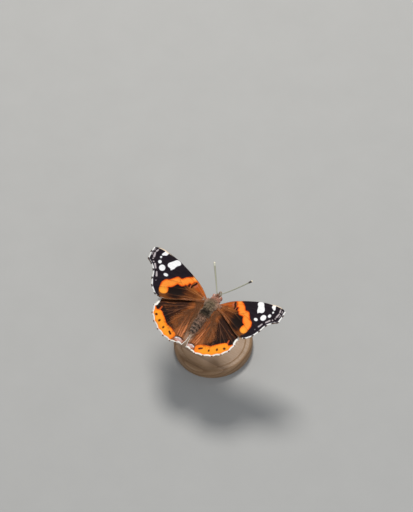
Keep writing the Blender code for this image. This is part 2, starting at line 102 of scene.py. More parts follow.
def turn_to_scene(d):
    d = np.asarray(d, float)
    return np.stack([d[..., 1], -d[..., 0], d[..., 2]], -1)


def smooth(t):
    t = np.clip(t, 0.0, 1.0)
    return t * t * (3 - 2 * t)


def mixed(a, b, t):
    return a + (b - a) * t


def unit(v):
    return v / np.maximum(np.linalg.norm(v, axis=-1, keepdims=True), 1e-12)


def chords(points):
    points = np.asarray(points, float)
    return np.concatenate([[0.0], np.cumsum(np.linalg.norm(np.diff(points, axis=0), axis=1))])


def spline(points, t):
    """Smooth curve through the points at chord-length positions t, 0 to 1."""
    points = np.asarray(points, float)
    t = np.atleast_1d(np.asarray(t, float))
    n, lengths = len(points), chords(points)
    lo, hi = np.maximum(np.arange(n) - 1, 0), np.minimum(np.arange(n) + 1, n - 1)
    tangents = (points[hi] - points[lo]) / (lengths[hi] - lengths[lo])[:, None]
    s = t * lengths[-1]
    i = np.clip(np.searchsorted(lengths, s + 1e-9, side="right") - 1, 0, n - 2)
    step = (lengths[i + 1] - lengths[i])[:, None]
    u = ((s - lengths[i])[:, None]) / step
    return ((2 * u**3 - 3 * u**2 + 1) * points[i] + (u**3 - 2 * u**2 + u) * step * tangents[i]
            + (-2 * u**3 + 3 * u**2) * points[i + 1] + (u**3 - u**2) * step * tangents[i + 1])


def scalloped(points, depth, t):
    t = np.atleast_1d(np.asarray(t, float))
    p = spline(points, t)
    d = spline(points, np.minimum(1.0, t + 1e-3)) - spline(points, np.maximum(0.0, t - 1e-3))
    size = np.linalg.norm(d, axis=1)
    lengths = chords(points)
    s = t * lengths[-1]
    i = np.clip(np.searchsorted(lengths, s + 1e-9, side="right") - 1, 0, len(points) - 2)
    gap = lengths[i + 1] - lengths[i]
    u = np.clip((s - lengths[i]) / gap, 0, 1)
    inward = depth * np.sin(np.pi * u) ** 1.3 * np.minimum(1.0, gap / 2.5)
    return p + (inward / size)[:, None] * np.stack([d[:, 1], -d[:, 0]], 1)


def patch(front, rear, root, outer):
    """Coons patch from sampled margins: front, rear over t and root, outer over s; gives (s, t, 2)."""
    s = np.linspace(0, 1, len(root))[:, None, None]
    t = np.linspace(0, 1, len(front))[None, :, None]
    a, b, d, e = front[0], front[-1], rear[0], rear[-1]
    return ((1 - s) * front[None] + s * rear[None] + (1 - t) * root[:, None] + t * outer[:, None]
            - ((1 - s) * (1 - t) * a + (1 - s) * t * b + s * (1 - t) * d + s * t * e))


def plane(hinge, dihedral, pitch, a, b, lift=0.0):
    x = math.cos(pitch) * b + math.sin(pitch) * lift
    z = -math.sin(pitch) * b + math.cos(pitch) * lift
    y2 = math.cos(dihedral) * a - math.sin(dihedral) * z
    z2 = math.sin(dihedral) * a + math.cos(dihedral) * z
    return np.stack([x + hinge[0], y2 + hinge[1], z2 + hinge[2]], -1)


def abdomen_section(x):
    """(half width, centre z) of the abdomen's outline at x, out to the tips of its coat."""
    u = np.clip((ABDOMEN_FRONT - np.asarray(x, float)) / (ABDOMEN_FRONT - ABDOMEN_TIP), 0, 1)
    swell = np.where(u < 0.14, np.minimum(1.0, (u + 0.02) / 0.16) ** 0.45, 1.0)
    taper = np.sqrt(np.maximum(0.0, 1 - np.maximum(0.0, (u - 0.40) / 0.605) ** 2.3))
    w = ABDOMEN_HALF_WIDTH * swell * taper * (0.93 + 0.07 * np.sin(np.pi * np.minimum(1, u / 0.8)))
    return w, mixed(ABDOMEN_CENTRE_FRONT, ABDOMEN_CENTRE_TIP, u**1.2)


def fold_line(b):
    clear = abdomen_section(HIND_HINGE[0] + b)[0] + FIT_GAP + WING_THICKNESS / 2 + FOLD_RADIUS
    return mixed(clear - HINGE_Y, 0.2 + WING_THICKNESS / 2 - HINGE_Y, smooth((-b - 9.4) / 3.3))


def fold_angle(b):
    return math.radians(82) * (1 - smooth((-b - 8.6) / 3.6))


def fold_reach(b):
    return mixed(0.25, FOLD_REACH, smooth((-b - 1.6) / 3.0) * (1 - smooth((-b - 8.0) / 4.0)))


def hind_lift(a, b):
    x, y = HIND_HINGE[0] + b, HINGE_Y + a
    rear_x = 0.1 - 0.596 * (y - 4.1)
    dip = -UNDERLAP_DROP * smooth((x - rear_x + 1.7) / 2.2) * smooth((a - 0.2) / 1.4)
    radius, turn = np.hypot(a, b) / 18.0, np.degrees(np.arctan2(a, -b))
    droop = -0.75 * np.maximum(0.0, radius - 0.83) ** 2 / 0.067 * np.exp(-((turn - 36) / 24) ** 2)
    return dip + droop + 0.40 * radius**3 * np.exp(-((turn - 4) / 11) ** 2)


def hind_surface(a, b, beyond):
    """Body-frame point of the hindwing's middle sheet; beyond is the length past the fold line."""
    p = plane(HIND_HINGE, HIND_DIHEDRAL, HIND_PITCH, a, b, hind_lift(a, b))
    angle = fold_angle(b)
    arc = FOLD_RADIUS * angle
    turn = np.minimum(np.maximum(beyond, 0) / FOLD_RADIUS, angle)
    rest = np.maximum(0.0, beyond - arc)
    flat = angle < 1e-3
    y = p[..., 1] - np.where(flat, np.maximum(beyond, 0), FOLD_RADIUS * np.sin(turn) + rest * np.cos(angle))
    z = p[..., 2] - np.where(flat, np.maximum(beyond, 0) * math.sin(HIND_DIHEDRAL),
                             FOLD_RADIUS * (1 - np.cos(turn)) + rest * np.sin(angle))
    return np.stack([p[..., 0], y, z], -1)


# ---- shapes in a wing's own plane, as signed distances in mm, positive inside ------
def segment_distance(p, a, b):
    a, b = np.asarray(a, float), np.asarray(b, float)
    ab = b - a
    t = np.clip(((p - a) @ ab) / max(ab @ ab, 1e-9), 0, 1)
    return np.linalg.norm(p - a - t[..., None] * ab, axis=-1)


def polygon(p, corners, rounding=0.0):
    """Signed distance to a smooth closed outline through the corners."""
    loop = np.asarray(corners, float)
    if rounding:
        ring = np.vstack([loop[-2:], loop, loop[:3]])
        lengths = chords(ring)
        start, stop = lengths[2] / lengths[-1], lengths[2 + len(loop)] / lengths[-1]
        loop = spline(ring, np.linspace(start, stop, 7 * len(loop), endpoint=False))
    inside = np.zeros(p.shape[:-1], bool)
    best = np.full(p.shape[:-1], 1e9)
    for a, b in zip(loop, np.roll(loop, -1, 0)):
        best = np.minimum(best, segment_distance(p, a, b))
        cross = (a[1] > p[..., 1]) != (b[1] > p[..., 1])
        with np.errstate(divide="ignore", invalid="ignore"):
            at = a[0] + (p[..., 1] - a[1]) / (b[1] - a[1]) * (b[0] - a[0])
        inside ^= cross & (p[..., 0] < at)
    return np.where(inside, best, -best)


def blob(p, centre, rx, ry, turn=0.0):
    """Signed distance, roughly, to an ellipse."""
    c, s = math.cos(math.radians(turn)), math.sin(math.radians(turn))
    d = p - np.asarray(centre, float)
    u, v = (d[..., 0] * c + d[..., 1] * s) / rx, (-d[..., 0] * s + d[..., 1] * c) / ry
    return (1 - np.hypot(u, v)) * min(rx, ry)


def stroke(p, points, width, end_width=None):
    """Signed distance to a line of the given half width, tapering to end_width."""
    points = np.asarray(points, float)
    end_width = width if end_width is None else end_width
    best = np.full(p.shape[:-1], -1e9)
    n = len(points) - 1
    for k in range(n):
        a, b = points[k], points[k + 1]
        ab = b - a
        t = np.clip(((p - a) @ ab) / max(ab @ ab, 1e-9), 0, 1)
        w = mixed(width, end_width, (k + t) / n)
        best = np.maximum(best, w - np.linalg.norm(p - a - t[..., None] * ab, axis=-1))
    return best


def union(*fields):
    out = fields[0]
    for f in fields[1:]:
        out = np.maximum(out, f)
    return out


# ---- meshes ----------------------------------------------------------------------
def build(name, points, faces, attributes=None, uv=None, materials=(), index=None, flat=False):
    """An object from scene-space points and faces (rows of 3 or 4 corners, or a list of such arrays)."""
    groups = [np.asarray(f, np.int32) for f in (faces if isinstance(faces, list) else [faces]) if len(f)]
    corners = np.concatenate([g.reshape(-1) for g in groups])
    totals = np.concatenate([np.full(len(g), g.shape[1], np.int32) for g in groups])
    starts = np.concatenate([[0], np.cumsum(totals)[:-1]]).astype(np.int32)
    mesh = bpy.data.meshes.new(name)
    mesh.vertices.add(len(points))
    mesh.vertices.foreach_set("co", np.asarray(points, np.float32).reshape(-1))
    mesh.loops.add(len(corners))
    mesh.loops.foreach_set("vertex_index", corners)
    mesh.polygons.add(len(totals))
    mesh.polygons.foreach_set("loop_start", starts)
    mesh.polygons.foreach_set("loop_total", totals)
    mesh.polygons.foreach_set("use_smooth", np.full(len(totals), not flat))
    for material in materials:
        mesh.materials.append(material)
    if index is not None:
        mesh.polygons.foreach_set("material_index", np.asarray(index, np.int32))
    mesh.update(calc_edges=True)
    mesh.validate()
    for key, values in (attributes or {}).items():
        values = np.asarray(values, np.float32)
        if values.ndim == 1:
            mesh.attributes.new(key, "FLOAT", "POINT").data.foreach_set("value", values)
        else:
            mesh.attributes.new(key, "FLOAT_VECTOR", "POINT").data.foreach_set("vector", values.reshape(-1))
    if uv is not None:
        layer = mesh.uv_layers.new(name="OFBake")
        order = np.empty(len(mesh.loops), np.int32)
        mesh.loops.foreach_get("vertex_index", order)
        layer.data.foreach_set("uv", np.asarray(uv, np.float32)[order].reshape(-1))
    obj = bpy.data.objects.new(name, mesh)
    bpy.context.scene.collection.objects.link(obj)
    return obj


def settle(obj, slot, *nodes):
    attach(obj, "root")
    if nodes:
        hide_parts(*nodes)
    return obj


def ring_faces(rows, around, start=0, closed=True):
    """Quads between consecutive rings of vertices."""
    r = np.arange(rows - 1)[:, None]
    k = np.arange(around if closed else around - 1)[None, :]
    j = (k + 1) % around
    return np.stack([start + r * around + k, start + r * around + j,
                     start + (r + 1) * around + j, start + (r + 1) * around + k], -1).reshape(-1, 4)


def cone_faces(ring_start, around, tip, flip=False):
    k = np.arange(around)
    out = np.stack([ring_start + k, ring_start + (k + 1) % around, np.full(around, tip)], 1)
    return out[:, ::-1] if flip else out


def outward(points, faces, centre=None):
    """Turns a closed mesh's faces to look out, judged by its signed volume."""
    total = 0.0
    for g in (faces if isinstance(faces, list) else [faces]):
        a, b, c = points[g[:, 0]], points[g[:, 1]], points[g[:, 2]]
        total += np.einsum("ij,ij->", a, np.cross(b, c))
        if g.shape[1] == 4:
            d = points[g[:, 3]]
            total += np.einsum("ij,ij->", a, np.cross(c, d))
    if total < 0:
        return [g[:, ::-1] for g in faces] if isinstance(faces, list) else faces[:, ::-1]
    return faces


def tube(points, radii, around=12, flat=1.0, up=(0, 0, 1), tips=0.8):
    """Points and faces of a limb along a line in the body frame; returns also its length and turn at each vertex."""
    points, radii = np.asarray(points, float), np.asarray(radii, float)
    n = len(points)
    ahead = unit(np.gradient(points, axis=0))
    side = np.cross(ahead[0], up)
    if np.linalg.norm(side) < 1e-3:
        side = np.array([0.0, 1.0, 0.0])
    frames, side = [], unit(side)
    for k in range(n):
        side = unit(side - (side @ ahead[k]) * ahead[k])
        frames.append((side, np.cross(side, ahead[k])))
    u = 2 * np.pi * np.arange(around) / around
    rings = np.stack([points[k] + radii[k] * (np.cos(u)[:, None] * frames[k][0] + flat * np.sin(u)[:, None] * frames[k][1])
                      for k in range(n)])
    first = points[0] - ahead[0] * radii[0] * tips
    last = points[-1] + ahead[-1] * radii[-1] * tips
    verts = np.vstack([rings.reshape(-1, 3), first, last])
    faces = [ring_faces(n, around), cone_faces(0, around, n * around, True), cone_faces((n - 1) * around, around, n * around + 1)]
    run = chords(points)
    length = np.concatenate([np.repeat(run, around), [0.0, run[-1]]])
    turn = np.concatenate([np.tile(u / (2 * np.pi), n), [0.0, 0.0]])
    return verts, outward(verts, faces), length, turn


def joined(parts):
    """Joins (points, faces, attributes) pieces into one."""
    points, faces, attributes, base = [], [], {}, 0
    for p, f, a in parts:
        for g in (f if isinstance(f, list) else [f]):
            faces.append(g + base)
        points.append(p)
        for key, value in a.items():
            attributes.setdefault(key, []).append(np.broadcast_to(value, (len(p),)) if np.ndim(value) < 2 else value)
        base += len(p)
    tris = [f for f in faces if f.shape[1] == 3]
    quads = [f for f in faces if f.shape[1] == 4]
    groups = ([np.vstack(quads)] if quads else []) + ([np.vstack(tris)] if tris else [])
    return np.vstack(points), groups, {k: np.concatenate(v) for k, v in attributes.items()}


def tufts(name, roots, first, lie, length, width, attributes, uv, material, across=None, thin=0.5, spread=0.25):
    """Tapered solid tufts: each leaves its root along first, and bends over to lie along lie."""
    n = len(roots)
    first, lie = unit(first), unit(lie)
    length, width = np.broadcast_to(length, (n,))[:, None], np.broadcast_to(width, (n,))[:, None]
    if across is None:
        across = np.cross(lie, first + 0.05)
    side = unit(across - (across * first).sum(1, keepdims=True) * first)
    verts, t_of, k_of = [], [], []
    for t, w in ((0.0, 0.65), (0.38, 1.0), (0.75, 0.6)):
        middle = roots + length * (first * (t - t * t / 2) + lie * (t * t / 2))
        ahead = unit(first * (1 - t) + lie * t)
        s = unit(side - (side * ahead).sum(1, keepdims=True) * ahead)
        up = np.cross(s, ahead)
        for k in range(3):
            u = 2 * math.pi * k / 3 + math.pi / 2
            verts.append(middle + width * w * 0.5 * (math.cos(u) * s * 1.15 + math.sin(u) * up * thin))
            t_of.append(t)
            k_of.append(k / 3 - 0.33)
    verts.append(roots + length * (first * 0.5 + lie * 0.5))
    t_of.append(1.0)
    k_of.append(0.0)
    points = np.stack(verts, 1)                       # n, 10, 3
    one = []
    for r in (0, 1):
        for k in range(3):
            j = (k + 1) % 3
            a, b, c, d = 3 * r + k, 3 * r + j, 3 * r + 3 + j, 3 * r + 3 + k
            one += [(a, b, c), (a, c, d)]
    one += [(6 + k, 6 + (k + 1) % 3, 9) for k in range(3)] + [(2, 1, 0)]
    one = np.array(one)
    probe = points[0]
    volume = np.einsum("ij,ij->", probe[one[:, 0]], np.cross(probe[one[:, 1]], probe[one[:, 2]]))
    if volume < 0:
        one = one[:, ::-1]
    faces = (one[None] + 10 * np.arange(n)[:, None, None]).reshape(-1, 3)
    t_of, k_of = np.array(t_of), np.array(k_of)
    patch_uv = np.clip(uv[:, None, :] + 0.003 * np.stack([k_of, t_of - 0.5], 1)[None], 0.0005, 0.9995).reshape(-1, 2)
    spots = {key: np.repeat(np.asarray(value, float), 10, axis=0) for key, value in attributes.items()}
    spots["along"] = np.tile(t_of, n)
    spots["chance"] = np.repeat(RNG.random(n), 10)
    obj = build(name, place(points.reshape(-1, 3)), faces, spots, patch_uv, (material,))
    return obj


# ---- materials -------------------------------------------------------------------
class Look:
    """A procedural material put together from small steps."""

    def __init__(self, name, roughness=0.6, **sockets):
        self.material = bpy.data.materials.new(name)
        self.material.use_nodes = True
        self.tree = self.material.node_tree
        self.shader = self.tree.nodes["Principled BSDF"]
        self.shader.inputs["Roughness"].default_value = roughness
        for key, value in sockets.items():
            self.shader.inputs[key.replace("_", " ")].default_value = value

    def node(self, kind, **settings):
        n = self.tree.nodes.new(kind)
        for key, value in settings.items():
            setattr(n, key, value)
        return n

    def put(self, socket, value):
        if isinstance(value, bpy.types.NodeSocket):
            self.tree.links.new(value, socket)
        elif isinstance(value, (tuple, list)) and len(value) == 3 and socket.type == "RGBA":
            socket.default_value = (*value, 1.0)
        else:
            socket.default_value = value

    def attribute(self, key, vector=False):
        n = self.node("ShaderNodeAttribute", attribute_name=key)
        return n.outputs["Vector"] if vector else n.outputs["Fac"]

    def maths(self, operation, a, b=0.0, c=None, clamp=False):
        n = self.node("ShaderNodeMath", operation=operation, use_clamp=clamp)
        self.put(n.inputs[0], a)
        self.put(n.inputs[1], b)
        if c is not None:
            self.put(n.inputs[2], c)
        return n.outputs[0]

    def add(self, a, b):
        return self.maths("ADD", a, b)

    def times(self, a, b):
        return self.maths("MULTIPLY", a, b)

    def step(self, value, low, high, to_low=0.0, to_high=1.0):
        """Smooth ramp from to_low to to_high as value goes from low to high."""
        n = self.node("ShaderNodeMapRange", interpolation_type="SMOOTHSTEP", clamp=True)
        for key, v in (("Value", value), ("From Min", low), ("From Max", high), ("To Min", to_low), ("To Max", to_high)):
            self.put(n.inputs[key], v)
        return n.outputs["Result"]

    def mix(self, factor, a, b, blend="MIX"):
        n = self.node("ShaderNodeMix", data_type="RGBA", blend_type=blend, clamp_factor=True)
        self.put(n.inputs["Factor"], factor)
        self.put(n.inputs[6], a)
        self.put(n.inputs[7], b)
        return n.outputs[2]

    def ramp(self, factor, stops):
        n = self.node("ShaderNodeValToRGB")
        elements = n.color_ramp.elements
        while len(elements) < len(stops):
            elements.new(0.5)
        for e, (at, colour) in zip(elements, stops):
            e.position = at
            e.color = (*colour, 1.0) if len(colour) == 3 else colour
        self.put(n.inputs[0], factor)
        return n.outputs[0]

    def scaled(self, vector, scale):
        n = self.node("ShaderNodeVectorMath", operation="MULTIPLY")
        self.put(n.inputs[0], vector)
        n.inputs[1].default_value = scale
        return n.outputs[0]

    def noise(self, vector, scale, detail=2.0, roughness=0.5, distortion=0.0):
        n = self.node("ShaderNodeTexNoise")
        self.put(n.inputs["Vector"], vector)
        n.inputs["Scale"].default_value = scale
        n.inputs["Detail"].default_value = detail
        n.inputs["Roughness"].default_value = roughness
        n.inputs["Distortion"].default_value = distortion
        return n.outputs[0]

    def cells(self, vector, scale, feature="F1", randomness=1.0, output="Distance"):
        n = self.node("ShaderNodeTexVoronoi", feature=feature)
        self.put(n.inputs["Vector"], vector)
        n.inputs["Scale"].default_value = scale
        n.inputs["Randomness"].default_value = randomness
        return n.outputs[output]

    def bump(self, height, strength, distance):
        n = self.node("ShaderNodeBump")
        n.inputs["Strength"].default_value = strength
        n.inputs["Distance"].default_value = distance
        self.put(n.inputs["Height"], height)
        self.tree.links.new(n.outputs[0], self.shader.inputs["Normal"])

    def colour(self, value):
        self.put(self.shader.inputs["Base Color"], value)
        return self.material

    def rough(self, value):
        self.put(self.shader.inputs["Roughness"], value)


# ---- wing outlines and veins, in each wing's own plane, a outward and b forward ----
FORE_VEINS = {
    "Sc": ((0.9, 1.9), (4.5, 4.1), (9, 6.1), (15, 7.85)),
    "R": ((0.9, 1.6), (5, 3.4), (9, 4.9), (13, 6.0), (14.5, 6.1)),
    "R1": ((11.5, 5.6), (14.5, 7.0), (18.3, 8.5)),
    "R2": ((14.0, 6.1), (17.5, 7.7), (21, 8.75)),
    "R3": ((14.5, 6.0), (19, 7.0), (23, 7.6), (25.3, 8.7)),
    "R4": ((23, 7.6), (26, 7.9), (28.5, 8.2)),
    "R5": ((19, 7.0), (23.5, 7.2), (27, 6.7), (30.0, 6.2)),
    "M1": ((14.8, 5.6), (20, 5.6), (25, 4.3), (29.4, 2.15)),
    "M2": ((14.9, 4.7), (20, 3.9), (24, 2.6), (27.3, 1.1)),
    "M3": ((14.3, 2.9), (19, 1.9), (22, 0.9), (25.2, -0.6)),
    "CuA1": ((12.6, 1.5), (17, -0.1), (20.5, -1.8), (23.7, -3.6)),
    "CuA2": ((9.2, 0.6), (14, -1.9), (18.2, -4.3), (21.9, -6.3)),
    "Cu": ((0.9, 1.2), (5, 1.0), (9.2, 0.6), (12.6, 1.5), (14.3, 2.9), (14.9, 4.7), (14.6, 6.0)),
    "2A": ((0.9, 0.6), (8, -2.3), (14, -5.4), (18.9, -8.45)),
}
HIND_VEINS = {
    "Sc": ((0.7, 0.6), (3, 1.6), (8, 0.6), (12.5, -1.9), (16.2, -5.6)),
    "Rs": ((0.7, 0.3), (4.5, -1.5), (10, -4.6), (14, -7.2), (16.45, -8.9)),
    "M1": ((4.5, -1.5), (7, -4.5), (11.5, -8.6), (15.65, -12.3)),
    "M2": ((7, -4.5), (9.2, -8.0), (11.4, -11.6), (13.3, -14.7)),
    "M3": ((5.2, -6.5), (7.0, -10.2), (8.7, -13.6), (10.2, -16.65)),
    "CuA1": ((4.6, -6.2), (5.4, -10.5), (6.3, -14.5), (6.85, -17.95)),
    "CuA2": ((3.0, -5.0), (3.2, -10.0), (3.3, -14.5), (3.2, -18.4)),
    "Cu": ((0.7, 0.0), (3.0, -5.0), (4.6, -6.2), (5.2, -6.5)),
    "1A": ((0.6, -0.3), (1.5, -6.0), (1.0, -12.0), (0.7, -17.9)),
    "3A": ((0.4, -0.6), (0.1, -5.0), (-0.9, -10.0), (-1.5, -14.0)),
}


def nearest_line(p, lines):
    best = np.full(p.shape[:-1], 1e9)
    for points in lines.values():
        curve = spline(points, np.linspace(0, 1, 4 * len(points)))
        for a, b in zip(curve, curve[1:]):
            best = np.minimum(best, segment_distance(p, a, b))
    return best


FRINGE = 0.36              # the outer fringe reaches this far past the wing membrane
HIND_SHOULDER = (0.74, 3.9)   # the hindwing's base runs on forward under the forewing's, leaving no window there
HIND_SHOULDER_COSTA = ((2.6, 4.05), (5.0, 3.35), (8.2, 1.95), (12.0, -0.4), (15.0, -3.1))
NEAR_BODY = 0.95           # and the root runs this far on, below the coat of the thorax


def fore_grid(ns, nt):
    t = np.linspace(0, 1, nt)
    s = np.linspace(0, 1, ns)
    front = spline([FORE_ROOT_FRONT, *FORE_COSTA, FORE_APEX], t)
    rear = spline([FORE_ROOT_REAR, *reversed(FORE_INNER), FORE_TORNUS], t)
    root = mixed(np.array(FORE_ROOT_FRONT), np.array(FORE_ROOT_REAR), s[:, None])
    outer = scalloped((FORE_APEX, *FORE_TIPS, FORE_TORNUS), FORE_SCALLOP, s)
    return front, rear, root, outer, t, s


def hind_rear(v):
    b = mixed(HIND_ROOT_REAR[1], HIND_ANAL_ANGLE[1], v)
    a = mixed(HIND_ROOT_REAR[0], fold_line(b), smooth(v / 0.16))
    flare = smooth((-b - 14.2) / 3.1) * (HIND_ANAL_ANGLE[0] - fold_line(np.array(HIND_ANAL_ANGLE[1])))
    return np.stack([a + flare, b], -1)


def hind_tips(side):
    """The left hindwing is spread a little wider at its front corner than the right one."""
    by = 0.70 if side > 0 else 0.05
    corner = (HIND_CORNER[0] + by, HIND_CORNER[1] + 0.2)
    tips = [(HIND_TIPS[0][0] + 0.9 * by, HIND_TIPS[0][1] + 0.1), (HIND_TIPS[1][0] + 0.45 * by, HIND_TIPS[1][1] + 0.45),
            (HIND_TIPS[2][0] + 0.15 * by, HIND_TIPS[2][1] + 0.15), *HIND_TIPS[3:]]
    return corner, tips


def hind_grid(ns, nt, side):
    corner, tips = hind_tips(side)
    t = np.linspace(0, 1, nt)
    s = np.linspace(0, 1, ns)
    front = spline([HIND_SHOULDER, *HIND_SHOULDER_COSTA, corner], t)
    rear = hind_rear(t)
    root = mixed(np.array(HIND_SHOULDER), rear[0], s[:, None])
    outer = scalloped((corner, *tips, HIND_ANAL_ANGLE), HIND_SCALLOP, s)
    return front, rear, root, outer, t, s


def drawn_in(grid, outer, rear, outer_by, rear_by):
    """Draws the membrane in from the outline, to leave room for the fringe."""
    d = np.gradient(outer, axis=0)
    inward = unit(np.stack([d[:, 1], -d[:, 0]], 1))
    e = np.gradient(rear, axis=0)
    forward = unit(np.stack([-e[:, 1], e[:, 0]], 1))
    ns, nt = grid.shape[:2]
    t, s = np.linspace(0, 1, nt), np.linspace(0, 1, ns)
    grid = grid + inward[:, None] * (outer_by * smooth((t - 0.78) / 0.22))[None, :, None]
    return grid + forward[None] * (rear_by * smooth((s - 0.86) / 0.14))[:, None, None] * smooth(t / 0.2)[None, :, None]


def point_distance(p, points):
    return np.min([np.hypot(p[..., 0] - a, p[..., 1] - b) for a, b in points], 0)


# ---- the markings, with painted backlight, highlight and groove shade among them, as named shapes ---
def fore_fringe(p, edge):
    """White lunules along the outer margin, parted by dark scales at the ends of the veins."""
    dark = point_distance(p, (*FORE_TIPS, (28.7, 1.75), (28.0, 1.45))) - 0.62
    outer = np.minimum(31.0 - p[..., 0], 9.0)
    width = 0.66 - 0.30 * smooth((18.7 - p[..., 0]) / 0.8) - 0.60 * smooth((18.0 - p[..., 0]) / 0.6)
    return np.minimum(np.minimum(width - edge, dark), outer)


def hind_fringe(p, edge, side):
    tips = hind_tips(side)[1]
    dark = point_distance(p, tips[1:]) - 0.50
    dark = np.minimum(dark, point_distance(p, tips[:1]) - 0.26)
    corner = smooth((p[..., 1] + 9.0) / 1.0) * smooth((p[..., 0] - 15.0) / 0.8)
    return np.minimum(0.66 + 0.55 * corner - edge, dark)


def fore_marks(p, side=1.0):
    p = p - np.array((0.0, 0.0) if side > 0 else (-0.35, 0.15))
    m = {}
    m["bar"] = polygon(p, ((17.0, 7.6), (17.5, 8.2), (18.6, 8.45), (19.5, 8.1), (20.1, 7.2), (20.8, 6.2), (21.4, 5.2), (21.3, 4.5),
                           (20.7, 3.95), (20.0, 3.9), (19.5, 3.7), (19.0, 3.35), (18.7, 3.8), (18.2, 4.7), (18.05, 5.5),
                           (17.8, 6.2), (17.2, 6.9)), 1)
    m["spots"] = union(polygon(p, ((23.6, 8.2), (23.8, 7.4), (24.5, 6.95), (25.2, 6.5), (25.65, 6.7), (25.5, 7.5), (25.25, 8.1),
                                   (25.2, 8.7), (24.3, 8.8), (23.7, 8.75)), 1),
                       blob(p, (25.3, 5.65), 0.42, 0.46), blob(p, (24.6, 3.8), 0.72, 0.72),
                       blob(p, (22.45, 2.25), 1.28, 1.25, 20), blob(p, (19.65, 0.72), 0.95, 0.62, -12))
    m["cream"] = union(stroke(p, ((23.8, 8.6), (25.5, 8.8), (27.2, 8.55), (28.2, 8.2)), 0.30, 0.10),
                       stroke(p, ((20.4, 8.6), (23.6, 8.75)), 0.03, 0.16) - 0.05)
    m["violet"] = union(stroke(p, ((27.9, 7.5), (28.15, 6.6)), 0.26, 0.30), stroke(p, ((28.2, 5.7), (27.75, 4.3)), 0.34, 0.40),
                        blob(p, (26.75, 2.5), 0.34, 0.26, -30), stroke(p, ((29.0, 7.3), (29.15, 6.5)), 0.12, 0.16), stroke(p, ((29.1, 5.5), (28.9, 4.4)), 0.14),
                        stroke(p, ((25.7, 1.9), (24.55, 0.75)), 0.36, 0.30), stroke(p, ((23.3, -0.4), (22.45, -1.7)), 0.28, 0.36),
                        blob(p, (21.6, -3.4), 0.24, 0.34, 30) - 0.1, blob(p, (28.2, 1.9), 0.42, 0.22, -20), blob(p, (27.6, 3.4), 0.30, 0.22, -40))
    m["fringe"] = union(stroke(p, ((29.75, 7.6), (30.1, 6.7)), 0.46, 0.40), stroke(p, ((30.05, 6.0), (29.9, 4.9)), 0.42),
                        stroke(p, ((29.75, 4.4), (29.3, 3.2)), 0.46), stroke(p, ((27.1, 1.05), (26.1, 0.75), (25.4, 0.0)), 0.46),
                        stroke(p, ((24.95, -0.85), (24.15, -1.5), (23.75, -2.9)), 0.50), stroke(p, ((23.4, -4.0), (22.7, -4.7), (22.2, -5.6)), 0.48),
                        stroke(p, ((21.4, -6.7), (20.4, -7.2), (19.4, -8.0)), 0.44), stroke(p, ((18.6, -8.35), (17.2, -8.55)), 0.30))
    m["orange"] = polygon(p, ((7.0, 5.6), (8.2, 6.3), (9.6, 6.5), (10.4, 5.9), (11.5, 5.3), (12.3, 4.6), (13.0, 3.6), (13.55, 3.05),
                              (14.5, 3.1), (15.3, 2.8), (16.0, 2.0), (16.6, 1.0), (17.3, 0.1), (18.3, -0.5), (19.0, -1.4),
                              (19.3, -2.4), (19.4, -3.2), (19.1, -4.2), (18.85, -5.2), (18.2, -6.1), (17.3, -6.5), (16.3, -6.3),
                              (15.45, -5.7), (15.1, -4.9), (15.2, -4.1), (15.5, -3.4), (15.9, -2.9), (15.2, -2.5), (14.6, -1.9),
                              (14.15, -1.2), (13.9, -0.3), (13.5, 0.15), (12.5, 0.2), (11.6, 0.35), (11.1, 0.9), (10.7, 1.6),
                              (10.15, 1.8), (9.9, 2.4), (9.75, 3.0), (9.4, 3.1), (9.05, 2.9), (8.8, 3.3), (8.6, 4.0), (8.2, 4.8),
                              (7.6, 5.2)), 1)
    m["bean"] = union(stroke(p, ((7.5, 4.75), (7.6, 4.1), (8.05, 3.5), (8.35, 2.8), (8.3, 2.2)), 0.34, 0.30),
                      stroke(p, ((9.45, 2.95), (9.35, 2.1)), 0.24, 0.36))
    m["rose"] = union(blob(p, (7.05, 3.7), 0.42, 0.85, 20), stroke(p, ((8.9, 2.6), (8.75, 2.1)), 0.22))
    # painted backlight: the orange glow where light shines through the wing between the costa and the cell
    m["painted_backlight"] = polygon(p, ((0.4, 2.3), (2, 3.25), (4, 4.4), (6, 5.3), (7.6, 5.9), (7.2, 4.8), (6.7, 4.0), (6.9, 3.0), (7.0, 2.4),
                            (5.6, 2.3), (4.5, 2.1), (3, 1.9), (1.5, 1.7), (0.4, 1.5)), 1)
    # strip along the costa: painted backlight on the upper side, pale marks on the under side
    m["rim"] = stroke(p, ((1.0, 2.6), (2.6, 3.35), (5.0, 4.75), (8.6, 6.15), (10.4, 6.7)), 0.34, 0.24)
    # painted highlight: a yellow sheen at the front tip of the orange band
    m["painted_tip_highlight"] = blob(p, (9.1, 6.15), 0.85, 0.42, 16)
    m["line"] = union(stroke(p, ((1.4, 1.35), (4, 1.5), (6.6, 1.7)), 0.17, 0.08), stroke(p, ((1.6, 0.55), (3.8, 0.0)), 0.16, 0.05))
    # painted shade: dark lines where shade lies in the grooves near the wing base
    m["groove"] = union(stroke(p, ((1.2, 1.0), (5, 1.1), (7.5, 1.3), (9.5, 0.3), (11, -0.7)), 0.13, 0.10),
                        stroke(p, ((1.0, 0.4), (4, -0.9), (8, -2.4), (12, -4.2)), 0.12, 0.06))
    m["distal"] = polygon(p, ((9.6, 8), (11.2, 6), (12.6, 4), (15, 2.8), (17, 0.8), (19, -1.5), (19.3, -4), (18.2, -6.6), (17.0, -7.6),
                              (17.0, -10), (33, -10), (33, 10), (9.6, 10)))
    m["lobe"] = blob(p, (17.0, -5.4), 2.2, 1.9, 0)
    m["halo"] = blob(p, (17.0, -6.6), 3.2, 1.7, 10)
    return m


